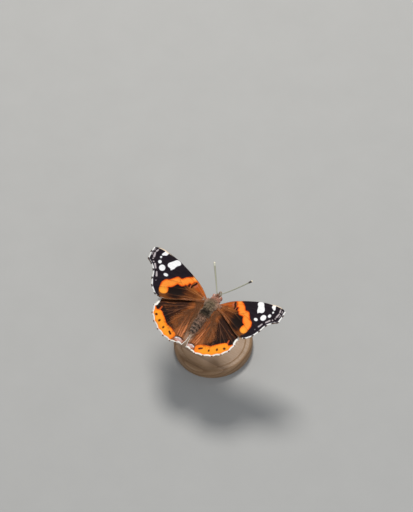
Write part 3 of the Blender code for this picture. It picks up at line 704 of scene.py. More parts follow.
def hind_marks(p, edge, side=1.0):
    p = p - np.array((0.25, 0.30) if side > 0 else (-0.40, 0.25))
    m = {}
    inner = polygon(p, ((17.5, -8.7), (16.3, -8.8), (15.6, -9.0), (15.2, -9.4), (14.6, -9.8), (14.0, -9.5), (13.4, -9.3), (12.6, -9.5),
                        (11.8, -9.9), (11.2, -10.4), (10.4, -11.0), (9.6, -11.6), (8.9, -12.2), (8.3, -12.8), (7.4, -13.15),
                        (6.4, -13.3), (5.3, -13.5), (4.4, -13.9), (3.5, -14.4), (2.7, -14.9), (2.25, -15.4), (2.35, -16.0),
                        (2.7, -16.8), (2.95, -17.6), (3.0, -19.5), (12, -19.5), (19, -14)))
    m["orange"] = np.minimum(inner, edge - 0.30)
    m["spur"] = stroke(p, ((13.5, -7.9), (13.6, -9.4)), 0.26, 0.34)
    m["dots"] = union(blob(p, (13.62, -11.8), 0.52, 0.47), blob(p, (11.15, -13.4), 0.40, 0.54, 15), blob(p, (8.25, -15.05), 0.36, 0.50, 10),
                      stroke(p, ((5.25, -15.3), (4.3, -15.95)), 0.34, 0.38))
    m["fringe"] = union(stroke(p, ((15.9, -4.4), (16.7, -6.4), (16.65, -8.3)), 0.62, 0.85), stroke(p, ((16.5, -9.4), (16.05, -11.6)), 0.56, 0.50),
                        stroke(p, ((15.35, -12.9), (14.0, -14.2)), 0.48), stroke(p, ((13.0, -15.1), (11.1, -16.4)), 0.48),
                        stroke(p, ((10.0, -17.0), (7.5, -17.9)), 0.48), stroke(p, ((6.5, -18.2), (3.8, -18.6)), 0.46),
                        stroke(p, ((2.7, -18.5), (1.2, -18.0)), 0.42), stroke(p, ((0.4, -17.75), (-1.1, -17.35)), 0.42),
                        stroke(p, ((-1.7, -16.4), (-2.2, -13.0)), 0.24))
    m["arc"] = stroke(p, ((-1.2, -15.35), (-0.2, -14.95), (1.1, -15.1), (1.9, -15.9)), 0.24, 0.18)
    m["blue"] = union(blob(p, (0.25, -15.65), 0.62, 0.24, 8), blob(p, (1.5, -15.95), 0.52, 0.24, -28), blob(p, (-0.4, -16.95), 0.62, 0.2, -4))
    m["anal"] = blob(p, (0.1, -16.3), 1.7, 0.85, -10)
    m["strip"] = polygon(p, ((0.2, 0), (0.1, -6), (-0.5, -11), (-1.0, -14.9), (-6, -15), (-6, 0)))
    m["fold"] = union(stroke(p, ((1.5, -2.5), (1.3, -6), (0.6, -10), (0.2, -14.7)), 0.30, 0.24),
                      stroke(p, ((2.8, -5.0), (2.7, -10), (1.9, -14.6)), 0.16, 0.13), stroke(p, ((2.0, -7.0), (1.6, -12.0), (0.9, -14.8)), 0.12, 0.10))
    m["warm"] = blob(p, (2.2, -8.0), 3.6, 7.5, 0)
    m["dusk"] = polygon(p, ((5.0, 4.0), (5.2, -3.5), (7.0, -8.0), (8.4, -12.3), (10, -11.0), (12.5, -9.0), (16.6, -8.4), (19, -5), (16, 3)))
    return m


# ---- the wings' scale coat as materials ---------------------------------------------
LIGHT, BROWN, DUSK, BLACK = (0.300, 0.092, 0.020), (0.135, 0.037, 0.0085), (0.038, 0.0118, 0.0055), (0.0115, 0.0062, 0.0050)


def scale_relief(look, fan, strength=0.40):
    """Rows of overlapping scales, finest across the wing."""
    rows = look.cells(look.scaled(fan, (7.5, 5.2, 1.0)), 1.0, randomness=0.55)
    ribs = look.noise(look.scaled(fan, (30.0, 2.0, 1.0)), 1.0, 1.0)
    vein = look.attribute("vein")
    ridge = look.step(vein, 0.16, 0.02)
    height = look.add(look.add(look.times(rows, 0.8), look.times(ribs, 0.25)), look.times(ridge, 0.6))
    look.bump(height, strength, 0.00006)
    return rows


def shaded(look, colour, rows, amount=0.20):
    """Each scale a little different, with painted shade at its rear where the next row overlaps it."""
    return look.mix(look.step(rows, 0.15, 0.75), colour, look.mix(1.0, colour, (1 - amount,) * 3, "MULTIPLY"))


def fore_upper():
    k = Look("forewing_upper_scales", 0.60, Specular_IOR_Level=0.06)
    fan, ab = k.attribute("fan", True), k.attribute("ab", True)
    rows = scale_relief(k, fan)
    streak = k.step(k.noise(k.scaled(fan, (1.6, 0.11, 1.0)), 1.0, 3.0, 0.7), 0.30, 0.70)
    hairs = k.noise(k.scaled(fan, (4.5, 0.30, 1.0)), 1.0, 2.0, 0.6)
    fine = k.noise(k.scaled(fan, (10.0, 1.3, 1.0)), 1.0, 2.0, 0.6)
    rough = k.noise(ab, 5.0, 2.0, 0.6)
    soft = k.times(k.add(rough, -0.5), 0.34)
    factor = k.add(k.attribute("shade"), k.add(k.times(k.add(streak, -0.5), 0.38), k.times(k.add(fine, -0.5), 0.38)))
    c = k.ramp(factor, ((0.0, LIGHT), (0.35, BROWN), (0.7, DUSK), (1.0, BLACK)))
    c = k.mix(k.times(k.step(hairs, 0.56, 0.70, 0.0, 0.55), k.step(factor, 0.75, 0.35)), c, (0.46, 0.150, 0.036))
    # painted backlight: orange where light shines through the wing over its base
    painted_backlight = k.times(k.step(k.attribute("painted_backlight"), -0.3, 0.6), k.step(fine, 0.2, 0.7, 0.55, 0.95))
    c = k.mix(painted_backlight, c, k.ramp(k.attribute("run"), ((0.0, (0.58, 0.135, 0.020)), (0.12, (0.52, 0.105, 0.012)), (0.25, (0.48, 0.078, 0.008)), (1.0, (0.48, 0.078, 0.008)))))
    # painted shade in the grooves
    c = k.mix(k.step(k.attribute("groove"), -0.05, 0.12, 0.0, 0.65), c, (0.05, 0.014, 0.006))
    c = k.mix(k.step(k.attribute("line"), -0.05, 0.12, 0.0, 0.8), c, (0.66, 0.27, 0.09))
    # painted backlight along the costa: orange where light shines through the wing's front edge
    c = k.mix(k.step(k.attribute("rim"), -0.12, 0.20, 0.0, 0.85), c, (0.90, 0.30, 0.060))
    c = k.mix(k.times(k.step(k.attribute("vein"), 0.14, 0.03), k.step(k.attribute("run"), 0.55, 0.25, 0.0, 0.55)), c, (0.50, 0.20, 0.07))
    c = k.mix(k.step(k.attribute("halo"), -0.2, 1.0, 0.0, 0.8), c, (0.19, 0.060, 0.014))
    black = k.mix(k.times(fine, 0.9), (0.0085, 0.0056, 0.0090), (0.020, 0.0135, 0.020))
    c = k.mix(k.step(k.add(k.attribute("distal"), soft), -0.25, 0.25), c, black)
    veins = k.step(k.attribute("vein"), 0.15, 0.04)
    orange = k.add(k.attribute("orange"), soft)
    tone = k.add(k.times(k.maths("MINIMUM", orange, 1.0), 0.8), k.times(k.add(streak, -0.5), 0.25))
    band = k.ramp(tone, ((0.0, (0.30, 0.016, 0.002)), (0.14, (0.80, 0.085, 0.004)), (0.40, (0.95, 0.225, 0.020)), (0.8, (0.96, 0.300, 0.040))))
    band = k.mix(k.step(k.attribute("lobe"), -0.6, 1.4, 0.0, 0.75), band, (0.96, 0.42, 0.045))
    band = k.mix(k.step(fine, 0.35, 0.8, 0.0, 0.18), band, (0.80, 0.13, 0.006))
    # painted highlight at the band's front tip
    band = k.mix(k.step(k.attribute("painted_tip_highlight"), -0.35, 0.45, 0.0, 0.85), band, (0.98, 0.60, 0.20))
    band = k.mix(k.times(veins, 0.30), band, (0.42, 0.07, 0.006))
    c = k.mix(k.step(orange, -0.10, 0.10), c, band)
    c = k.mix(k.step(k.add(k.attribute("rose"), k.times(soft, 0.5)), -0.25, 0.2, 0.0, 0.8), c, (0.55, 0.13, 0.06))
    c = k.mix(k.step(k.add(k.attribute("bean"), k.times(soft, 0.5)), -0.14, 0.12), c, (0.022, 0.003, 0.003))
    c = k.mix(k.times(k.times(veins, 0.35), k.step(k.attribute("run"), 0.35, 0.5)), c, (0.010, 0.006, 0.006))
    c = k.mix(k.step(k.add(k.attribute("violet"), soft), -0.16, 0.18, 0.0, 0.80), c, k.mix(fine, (0.42, 0.34, 0.36), (0.82, 0.75, 0.77)))
    c = k.mix(k.step(k.attribute("edge"), 0.30, 0.08, 0.0, 0.75), c, (0.030, 0.016, 0.012))
    white = k.add(k.attribute("white"), k.times(soft, 0.55))
    c = k.mix(k.step(white, -0.42, -0.05, 0.0, 0.35), c, (0.05, 0.04, 0.06))
    c = k.mix(k.step(white, -0.08, 0.12), c, k.mix(fine, (0.86, 0.86, 0.88), (0.95, 0.95, 0.95)))
    c = k.mix(k.step(k.attribute("cream"), -0.10, 0.10, 0.0, 0.9), c, (0.86, 0.70, 0.52))
    k.rough(k.step(fine, 0.3, 0.7, 0.52, 0.70))
    return k.colour(shaded(k, c, rows))


def hind_upper():
    k = Look("hindwing_upper_scales", 0.62, Specular_IOR_Level=0.06)
    fan, ab = k.attribute("fan", True), k.attribute("ab", True)
    rows = scale_relief(k, fan)
    streak = k.step(k.noise(k.scaled(fan, (1.9, 0.10, 1.0)), 1.0, 3.0, 0.7), 0.30, 0.70)
    hairs = k.noise(k.scaled(fan, (4.5, 0.30, 1.0)), 1.0, 2.0, 0.6)
    fine = k.noise(k.scaled(fan, (10.0, 1.2, 1.0)), 1.0, 2.0, 0.6)
    rough = k.noise(ab, 5.0, 2.0, 0.6)
    soft = k.times(k.add(rough, -0.5), 0.34)
    factor = k.add(k.attribute("shade"), k.add(k.times(k.add(streak, -0.5), 0.36), k.times(k.add(fine, -0.5), 0.42)))
    c = k.ramp(factor, ((0.0, (0.315, 0.092, 0.022)), (0.34, (0.130, 0.035, 0.0075)), (0.62, (0.030, 0.0095, 0.0045)), (1.0, BLACK)))
    c = k.mix(k.times(k.step(hairs, 0.55, 0.68, 0.0, 0.70), k.step(factor, 0.85, 0.45)), c, (0.54, 0.175, 0.045))
    c = k.mix(k.step(k.attribute("strip"), -0.6, 0.5, 0.0, 0.65), c, k.mix(fine, (0.30, 0.165, 0.095), (0.48, 0.30, 0.20)))
    c = k.mix(k.times(k.step(k.attribute("fold"), -0.20, 0.10, 0.0, 0.90), k.step(streak, 0.3, 0.7, 0.7, 1.0)), c, (0.84, 0.31, 0.130))
    veins = k.step(k.attribute("vein"), 0.17, 0.04)
    c = k.mix(k.times(veins, 0.30), c, (0.30, 0.13, 0.07))
    c = k.mix(k.step(k.attribute("spur"), -0.2, 0.22, 0.0, 0.75), c, (0.66, 0.110, 0.024))
    c = k.mix(k.step(k.attribute("anal"), -0.4, 0.5, 0.0, 0.85), c, k.mix(fine, (0.44, 0.21, 0.18), (0.76, 0.55, 0.50)))
    orange = k.add(k.attribute("orange"), soft)
    band = k.ramp(k.add(k.times(k.maths("MINIMUM", orange, 1.0), 0.75), k.times(k.add(streak, -0.5), 0.22)),
                  ((0.0, (0.40, 0.030, 0.003)), (0.14, (0.88, 0.140, 0.006)), (0.40, (0.96, 0.270, 0.014)), (0.85, (0.97, 0.345, 0.022))))
    band = k.mix(k.step(k.attribute("warmth"), 0.0, 1.0, 0.0, 0.80), band, (0.95, 0.20, 0.012))
    band = k.mix(k.times(veins, 0.22), band, (0.80, 0.19, 0.012))
    c = k.mix(k.step(orange, -0.12, 0.12), c, band)
    c = k.mix(k.step(k.add(k.attribute("dots"), k.times(soft, 0.6)), -0.22, 0.14, 0.0, 0.97), c, (0.060, 0.006, 0.004))
    c = k.mix(k.step(k.attribute("arc"), -0.14, 0.10), c, (0.020, 0.013, 0.008))
    c = k.mix(k.step(k.attribute("blue"), -0.16, 0.14, 0.0, 0.9), c, (0.86, 0.84, 0.90))
    c = k.mix(k.step(k.attribute("edge"), 0.24, 0.05, 0.0, 0.80), c, (0.16, 0.055, 0.012))
    white = k.add(k.attribute("white"), k.times(soft, 0.45))
    c = k.mix(k.step(white, -0.10, 0.12), c, k.mix(fine, (0.84, 0.80, 0.72), (0.95, 0.93, 0.88)))
    k.rough(k.step(fine, 0.3, 0.7, 0.54, 0.72))
    return k.colour(shaded(k, c, rows))


def fore_under():
    k = Look("forewing_under_scales", 0.65, Specular_IOR_Level=0.06)
    fan, ab = k.attribute("fan", True), k.attribute("ab", True)
    rows = scale_relief(k, fan)
    fine = k.noise(k.scaled(fan, (10.0, 1.3, 1.0)), 1.0, 2.0, 0.6)
    rough = k.noise(ab, 4.0, 3.0, 0.6)
    soft = k.times(k.add(rough, -0.5), 0.45)
    c = k.mix(fine, (0.020, 0.013, 0.012), (0.050, 0.030, 0.022))
    marbled = k.ramp(k.noise(ab, 1.5, 4.0, 0.65, 1.2), ((0.3, (0.06, 0.035, 0.022)), (0.5, (0.20, 0.13, 0.085)), (0.7, (0.36, 0.27, 0.20))))
    c = k.mix(k.step(k.attribute("run"), 0.80, 0.95, 0.0, 0.9), c, marbled)
    c = k.mix(k.step(k.attribute("rear"), 0.2, 1.6, 0.0, 0.7), c, (0.17, 0.125, 0.09))
    orange = k.add(k.attribute("orange"), soft)
    c = k.mix(k.step(orange, -0.15, 0.15), c, k.mix(fine, (0.72, 0.17, 0.05), (0.80, 0.27, 0.10)))
    c = k.mix(k.step(k.attribute("ring"), -0.12, 0.10, 0.0, 0.85), c, (0.14, 0.22, 0.44))
    c = k.mix(k.step(k.attribute("rose"), -0.25, 0.2, 0.0, 0.85), c, (0.60, 0.17, 0.13))
    c = k.mix(k.step(k.attribute("bean"), -0.14, 0.12), c, (0.020, 0.008, 0.008))
    c = k.mix(k.times(k.step(k.attribute("rim"), -0.05, 0.15), k.step(k.cells(k.scaled(ab, (1.6, 0.2, 1.0)), 1.0), 0.3, 0.4, 0.9, 0.2)), c, (0.40, 0.33, 0.26))
    white = k.add(k.attribute("white"), k.times(soft, 0.5))
    c = k.mix(k.step(white, -0.08, 0.14, 0.0, 0.92), c, (0.78, 0.75, 0.74))
    c = k.mix(k.step(k.attribute("edge"), 0.34, 0.10, 0.0, 0.6), c, (0.10, 0.07, 0.05))
    k.rough(k.step(fine, 0.3, 0.7, 0.55, 0.72))
    return k.colour(shaded(k, c, rows))


def hind_under():
    k = Look("hindwing_under_scales", 0.68, Specular_IOR_Level=0.06)
    fan, ab = k.attribute("fan", True), k.attribute("ab", True)
    rows = scale_relief(k, fan)
    fine = k.noise(k.scaled(fan, (10.0, 1.3, 1.0)), 1.0, 2.0, 0.6)
    marble = k.noise(ab, 0.75, 5.0, 0.68, 1.6)
    c = k.ramp(k.add(marble, k.times(k.add(fine, -0.5), 0.12)),
               ((0.30, (0.020, 0.012, 0.009)), (0.44, (0.065, 0.036, 0.023)), (0.53, (0.13, 0.080, 0.052)), (0.62, (0.26, 0.19, 0.14)), (0.75, (0.42, 0.35, 0.28))))
    bands = k.noise(k.scaled(fan, (0.35, 0.9, 1.0)), 1.0, 3.0, 0.7, 1.4)
    c = k.mix(k.step(bands, 0.50, 0.62, 0.0, 0.65), c, (0.040, 0.024, 0.020))
    c = k.mix(k.step(k.attribute("eyes"), -0.15, 0.10, 0.0, 0.75), c, k.mix(k.step(k.attribute("eyes"), 0.10, 0.32), (0.20, 0.13, 0.07), (0.05, 0.07, 0.09)))
    c = k.mix(k.step(k.attribute("patch"), -0.3, 0.3, 0.0, 0.8), c, (0.50, 0.42, 0.33))
    c = k.mix(k.times(k.step(k.attribute("vein"), 0.16, 0.04), 0.5), c, (0.20, 0.14, 0.10))
    c = k.mix(k.step(k.attribute("edge"), 0.9, 0.4, 0.0, 0.55), c, (0.25, 0.19, 0.14))
    c = k.mix(k.step(k.attribute("edge"), 0.28, 0.08, 0.0, 0.8), c, (0.045, 0.028, 0.02))
    white = k.attribute("white")
    c = k.mix(k.step(white, -0.10, 0.12, 0.0, 0.7), c, (0.70, 0.66, 0.60))
    k.rough(k.step(fine, 0.3, 0.7, 0.58, 0.74))
    return k.colour(shaded(k, c, rows))


# ---- wing meshes ------------------------------------------------------------------------
def closed_sheet(name, centre, normal, half, fields, uv_top, uv_bottom, materials, side):
    """Two sheets either side of a grid of middle points, joined round the margin."""
    rows, cols = centre.shape[:2]
    top, bottom = centre + normal * half[..., None], centre - normal * half[..., None]
    points = np.vstack([top.reshape(-1, 3), bottom.reshape(-1, 3)])
    count = rows * cols
    i = np.arange(rows - 1)[:, None] * cols + np.arange(cols - 1)[None]
    quad = np.stack([i, i + 1, i + cols + 1, i + cols], -1).reshape(-1, 4)
    loop = np.concatenate([np.arange(cols), np.arange(1, rows) * cols + cols - 1,
                           (rows - 1) * cols + np.arange(cols - 2, -1, -1), np.arange(rows - 2, 0, -1) * cols])
    after = np.roll(loop, -1)
    rim = np.stack([loop, after, after + count, loop + count], -1)
    if side > 0:
        upper, lower, rim = quad[:, ::-1], quad + count, rim[:, ::1]
    else:
        upper, lower, rim = quad, quad[:, ::-1] + count, rim[:, ::-1]
    a = points[upper]
    n = np.cross(a[:, 1] - a[:, 0], a[:, 2] - a[:, 0])
    if n[:, 2].sum() < 0:
        upper, lower, rim = upper[:, ::-1], lower[:, ::-1], rim[:, ::-1]
    faces = np.vstack([upper, lower, rim])
    index = np.concatenate([np.zeros(len(upper)), np.ones(len(lower)), np.zeros(len(rim))]).astype(int)
    spots = {key: np.concatenate([v.reshape((count,) + v.shape[2:])] * 2) for key, v in fields.items()}
    uv = np.vstack([uv_top.reshape(-1, 2), uv_bottom.reshape(-1, 2)])
    return build(name, place(points), faces, spots, uv, materials, index)


def grid_normal(p):
    n = unit(np.cross(np.gradient(p, axis=1), np.gradient(p, axis=0)))
    return n * np.where(n[..., 2:3].sum() < 0, -1.0, 1.0)


def plan_uv(ab, low, high, upper):
    """An unwrap of a wing sheet onto one half of the map."""
    u = (ab[..., 0] - low[0]) / (high[0] - low[0])
    v = (ab[..., 1] - low[1]) / (high[1] - low[1])
    return np.stack([0.01 + 0.98 * u, (0.505 if upper else 0.01) + 0.485 * v], -1)


def margin_distance(ab, curve):
    best = np.full(ab.shape[:-1], 1e9)
    for a, b in zip(curve, curve[1:]):
        best = np.minimum(best, segment_distance(ab, a, b))
    return best


def wing_fields(ab, marks, edge, vein, origin, reach):
    d = ab - np.asarray(origin)
    theta, r = np.arctan2(d[..., 1], d[..., 0]), np.hypot(d[..., 0], d[..., 1])
    zero = np.zeros_like(theta)
    fields = {k: np.clip(v, -3, 3) for k, v in marks.items()}
    fields["ab"] = np.stack([ab[..., 0], ab[..., 1], zero], -1)
    fields["fan"] = np.stack([theta * 15.0, r, zero], -1)
    fields["edge"], fields["vein"] = np.clip(edge, 0, 3), np.clip(vein, 0, 3)
    fields["run"] = r / reach
    return fields


def make_forewings():
    ns, nt = 104, 158
    front, rear, root, outer, t, s = fore_grid(ns, nt)
    ab = drawn_in(patch(front, rear, root, outer), outer, rear, FRINGE, 0.16)
    inner_run = np.linspace(-NEAR_BODY, -0.1, 6)
    extra = ab[:, :1] + np.stack([inner_run, 0 * inner_run], -1)[None]
    ab = np.concatenate([extra, ab], 1)
    vein = nearest_line(ab, FORE_VEINS)
    edge = margin_distance(ab, np.vstack([front, outer, rear[::-1]])[:: 3])
    outer_edge = margin_distance(ab, outer[::2])
    a, b = ab[..., 0], ab[..., 1]
    half = 0.045 + 0.075 * np.exp(-np.maximum(a, 0) / 3.5) + 0.030 * np.exp(-(vein / 0.13) ** 2)
    half *= 0.35 + 0.65 * smooth(edge / 0.35)
    lift = 0.075 * (np.exp(-(vein / 0.55) ** 2) - 0.45) * smooth(edge / 0.6) * smooth(a / 3)
    lift += 0.05 * np.sin(a * 0.55 + b * 0.8) * smooth(edge / 1.2) * smooth(a / 5)
    middle = plane(FORE_HINGE, FORE_DIHEDRAL, FORE_PITCH, a, b, lift)
    low, high = ab.reshape(-1, 2).min(0), ab.reshape(-1, 2).max(0)
    materials = (fore_upper(), fore_under())
    made = {}
    for label, side in SIDES:
        marks = fore_marks(ab, side)
        marks["white"] = union(marks.pop("bar"), marks.pop("spots"), fore_fringe(ab, outer_edge))
        marks["ring"] = stroke(ab, ((12.6, 5.6), (12.9, 4.6), (13.9, 4.3), (14.2, 5.4), (13.4, 6.0), (12.6, 5.6)), 0.16)
        marks["rear"] = 8.0 - margin_distance(ab, rear[::4]) * 1.9 - 6.0
        fields = wing_fields(ab, marks, edge, vein, (-1.5, 1.2), 31.0)
        # dusky behind the cell and out to the band, the base left warm; the right wing painted a little darker, as
        # painted shade
        fields["shade"] = ((0.00 if side > 0 else 0.07) + 0.40 * smooth((1.5 - b) / 1.2) * smooth((a - 2.2) / 3.2) * smooth((b + 4.6) / 2.4) + 0.26 * smooth((a - 6.5) / 5)
                           + 0.55 * smooth((a - 8.0) / 4.5) * smooth((b + 6.6) / 2.6) + 0.10 * smooth((1.5 - a) / 1.5)
                           + 0.16 * smooth((-b - 0.5) / 4) * smooth((a - 5) / 6))
        centre = middle * np.array([1.0, side, 1.0])
        obj = closed_sheet(f"forewing_skin_{label}", centre, grid_normal(centre), half, fields,
                           plan_uv(ab, low, high, True), plan_uv(ab, low, high, False), materials, side)
        made[label] = settle(obj, "wing_scales", f"forewing_{label}")
    return made


def make_hindwings():
    ns, nt = 104, 128
    materials = (hind_upper(), hind_under())
    made = {}
    for label, side in SIDES:
        front, rear, root, outer, t, s = hind_grid(ns, nt, side)
        flat = drawn_in(patch(front, rear, root, outer), outer, rear, FRINGE, 0.0)
        # the fold's part: past the fold line the sheet turns down beside the abdomen
        line = flat[-1]
        reach = fold_reach(line[:, 1]) - 0.06
        beyond = np.linspace(0, 1, 10)[1:, None] * reach[None]
        a = np.concatenate([flat[..., 0], np.repeat(line[None, :, 0], 9, 0)])
        b = np.concatenate([flat[..., 1], np.repeat(line[None, :, 1], 9, 0)])
        past = np.concatenate([np.zeros(flat.shape[:2]), beyond])
        inner_run = np.linspace(-1.8, -0.1, 6)
        a = np.concatenate([a[:, :1] + inner_run[None], a], 1)
        b = np.concatenate([np.repeat(b[:, :1], 6, 1), b], 1)
        past = np.concatenate([np.repeat(past[:, :1], 6, 1), past], 1)
        ab = np.stack([a - past, b], -1)
        vein = nearest_line(ab, HIND_VEINS)
        inner_edge = np.stack([line[:, 0] - reach, line[:, 1]], -1)
        edge = margin_distance(ab, np.vstack([front, outer, inner_edge[::-1]])[:: 3])
        outer_edge = margin_distance(ab, outer[::2])
        marks = hind_marks(ab, outer_edge, side)
        marks["white"] = union(hind_fringe(ab, outer_edge, side), marks.pop("fringe") - 0.25)
        marks["eyes"] = union(*(blob(ab, c, 0.75, 0.62) for c in ((13.3, -9.6), (11.3, -11.3), (8.6, -12.9), (5.6, -13.9), (3.2, -14.5))))
        marks["patch"] = union(blob(ab, (9.5, 0.0), 1.6, 0.7, -30), blob(ab, (13.6, -4.0), 0.8, 0.6, -40))
        marks["warmth"] = 1.0 - np.abs(ab[..., 0] - 3.0) / 2.6
        fields = wing_fields(ab, marks, edge, vein, (0.3, 1.6), 21.0)
        p, q = ab[..., 0], ab[..., 1]
        near_band = np.clip(marks["orange"], -3, 0)
        # the right hindwing's dusk is painted darker: painted shade on that side
        fields["shade"] = (0.08 + (0.58 if side > 0 else 0.68) * smooth((marks["dusk"] + 1.8) / 2.8) + 0.62 * smooth((near_band + 2.3) / 1.8) * smooth((p - 3.2) / 3.0)
                           + 0.10 * smooth((q + 2.0) / 3.0) - 0.08 * smooth((3.5 - p) / 3))
        half = 0.045 + 0.060 * np.exp(-np.hypot(p, q) / 4.0) + 0.030 * np.exp(-(vein / 0.13) ** 2)
        half *= 0.35 + 0.65 * smooth(edge / 0.35)
        middle = hind_surface(a, b, past)
        lift = 0.075 * (np.exp(-(vein / 0.6) ** 2) - 0.45) * smooth(edge / 0.6) * smooth(-q / 3)
        lift += 0.05 * np.sin(p * 0.7 + q * 0.5) * smooth(edge / 1.2) * smooth(-q / 4)
        middle = middle + grid_normal(middle) * (lift * (past <= 0))[..., None]
        low, high = ab.reshape(-1, 2).min(0), ab.reshape(-1, 2).max(0)
        centre = middle * np.array([1.0, side, 1.0])
        obj = closed_sheet(f"hindwing_skin_{label}", centre, grid_normal(centre), half, fields,
                           plan_uv(ab, low, high, True), plan_uv(ab, low, high, False), materials, side)
        made[label] = settle(obj, "wing_scales", f"hindwing_{label}")
    return made


# ---- the body's skin ---------------------------------------------------------------------
COAT = {"thorax": 0.46, "abdomen": 0.26, "head": 0.34}    # how deep the coat lies over the skin


def loft_points(stations, around=40):
    """stations: (x, half width, top, bottom)."""
    u = 2 * np.pi * np.arange(around) / around
    rings = []
    for x, w, top, bottom in stations:
        middle, half = (top + bottom) / 2, (top - bottom) / 2
        rings.append(np.stack([np.full(around, x), w * np.cos(u), middle + half * np.sin(u)], 1))
    n = len(rings)
    points = np.vstack([*rings, rings[0].mean(0), rings[-1].mean(0)])
    faces = [ring_faces(n, around), cone_faces(0, around, n * around, True), cone_faces((n - 1) * around, around, n * around + 1)]
    return points, outward(points, faces)


def ellipsoid_points(centre, size, around=36, rows=22):
    v = np.pi * (np.arange(rows) + 0.5) / rows
    u = 2 * np.pi * np.arange(around) / around
    ring = np.stack([np.cos(v)[:, None] * np.ones(around), np.sin(v)[:, None] * np.cos(u), np.sin(v)[:, None] * np.sin(u)], -1)
    points = np.vstack([ring.reshape(-1, 3), [[1, 0, 0]], [[-1, 0, 0]]]) * np.asarray(size) + np.asarray(centre)
    n = rows * around
    faces = [ring_faces(rows, around), cone_faces(0, around, n, True), cone_faces(n - around, around, n + 1)]
    return points, outward(points, faces)


def fused(pieces, voxel, smoothing):
    """Overlapping closed shapes, in the body frame, made into one smooth surface with no seams."""
    points, groups, _ = joined([(p, f, {}) for p, f in pieces])
    mesh = bpy.data.meshes.new("fused")
    mesh.from_pydata(points.tolist(), [], [row for g in groups for row in g.tolist()])
    obj = bpy.data.objects.new("fused", mesh)
    bpy.context.scene.collection.objects.link(obj)
    remesh = obj.modifiers.new("voxels", "REMESH")
    remesh.mode, remesh.voxel_size, remesh.adaptivity = "VOXEL", voxel, 0.0
    soften = obj.modifiers.new("soften", "SMOOTH")
    soften.factor, soften.iterations = 0.5, smoothing
    evaluated = obj.evaluated_get(bpy.context.evaluated_depsgraph_get())
    made = evaluated.to_mesh()
    co = np.empty(len(made.vertices) * 3, np.float32)
    made.vertices.foreach_get("co", co)
    quads = np.empty(len(made.loops), np.int32)
    made.loops.foreach_get("vertex_index", quads)
    totals = np.empty(len(made.polygons), np.int32)
    made.polygons.foreach_get("loop_total", totals)
    starts = np.concatenate([[0], np.cumsum(totals)[:-1]])
    fours = quads[(starts[totals == 4][:, None] + np.arange(4)[None])]
    threes = quads[(starts[totals == 3][:, None] + np.arange(3)[None])] if (totals == 3).any() else np.empty((0, 3), int)
    evaluated.to_mesh_clear()
    bpy.data.objects.remove(obj, do_unlink=True)
    return co.reshape(-1, 3).astype(float), [g for g in (fours, threes) if len(g)]


def body_centre_z(x):
    x = np.asarray(x, float)
    return np.interp(x, (-15.0, -10.0, -4.7, -3.0, 0.0, 3.2, 4.98, 6.2), (-0.5, -0.38, -0.27, -0.5, -0.66, -0.55, -0.55, -0.55))


def body_uv(p):
    """The body's skin unrolled: length along it, and the turn about its axis with the seam below."""
    turn = np.arctan2(p[..., 1], p[..., 2] - body_centre_z(p[..., 0])) / (2 * np.pi) + 0.5
    # the rounded ends take more of the map than their length alone would give
    along = np.interp(p[..., 0], (-15.2, -14.4, -13.0, 4.6, 5.5, 6.4), (0.01, 0.075, 0.14, 0.86, 0.92, 0.99))
    return np.stack([along, 0.01 + 0.98 * turn], -1)


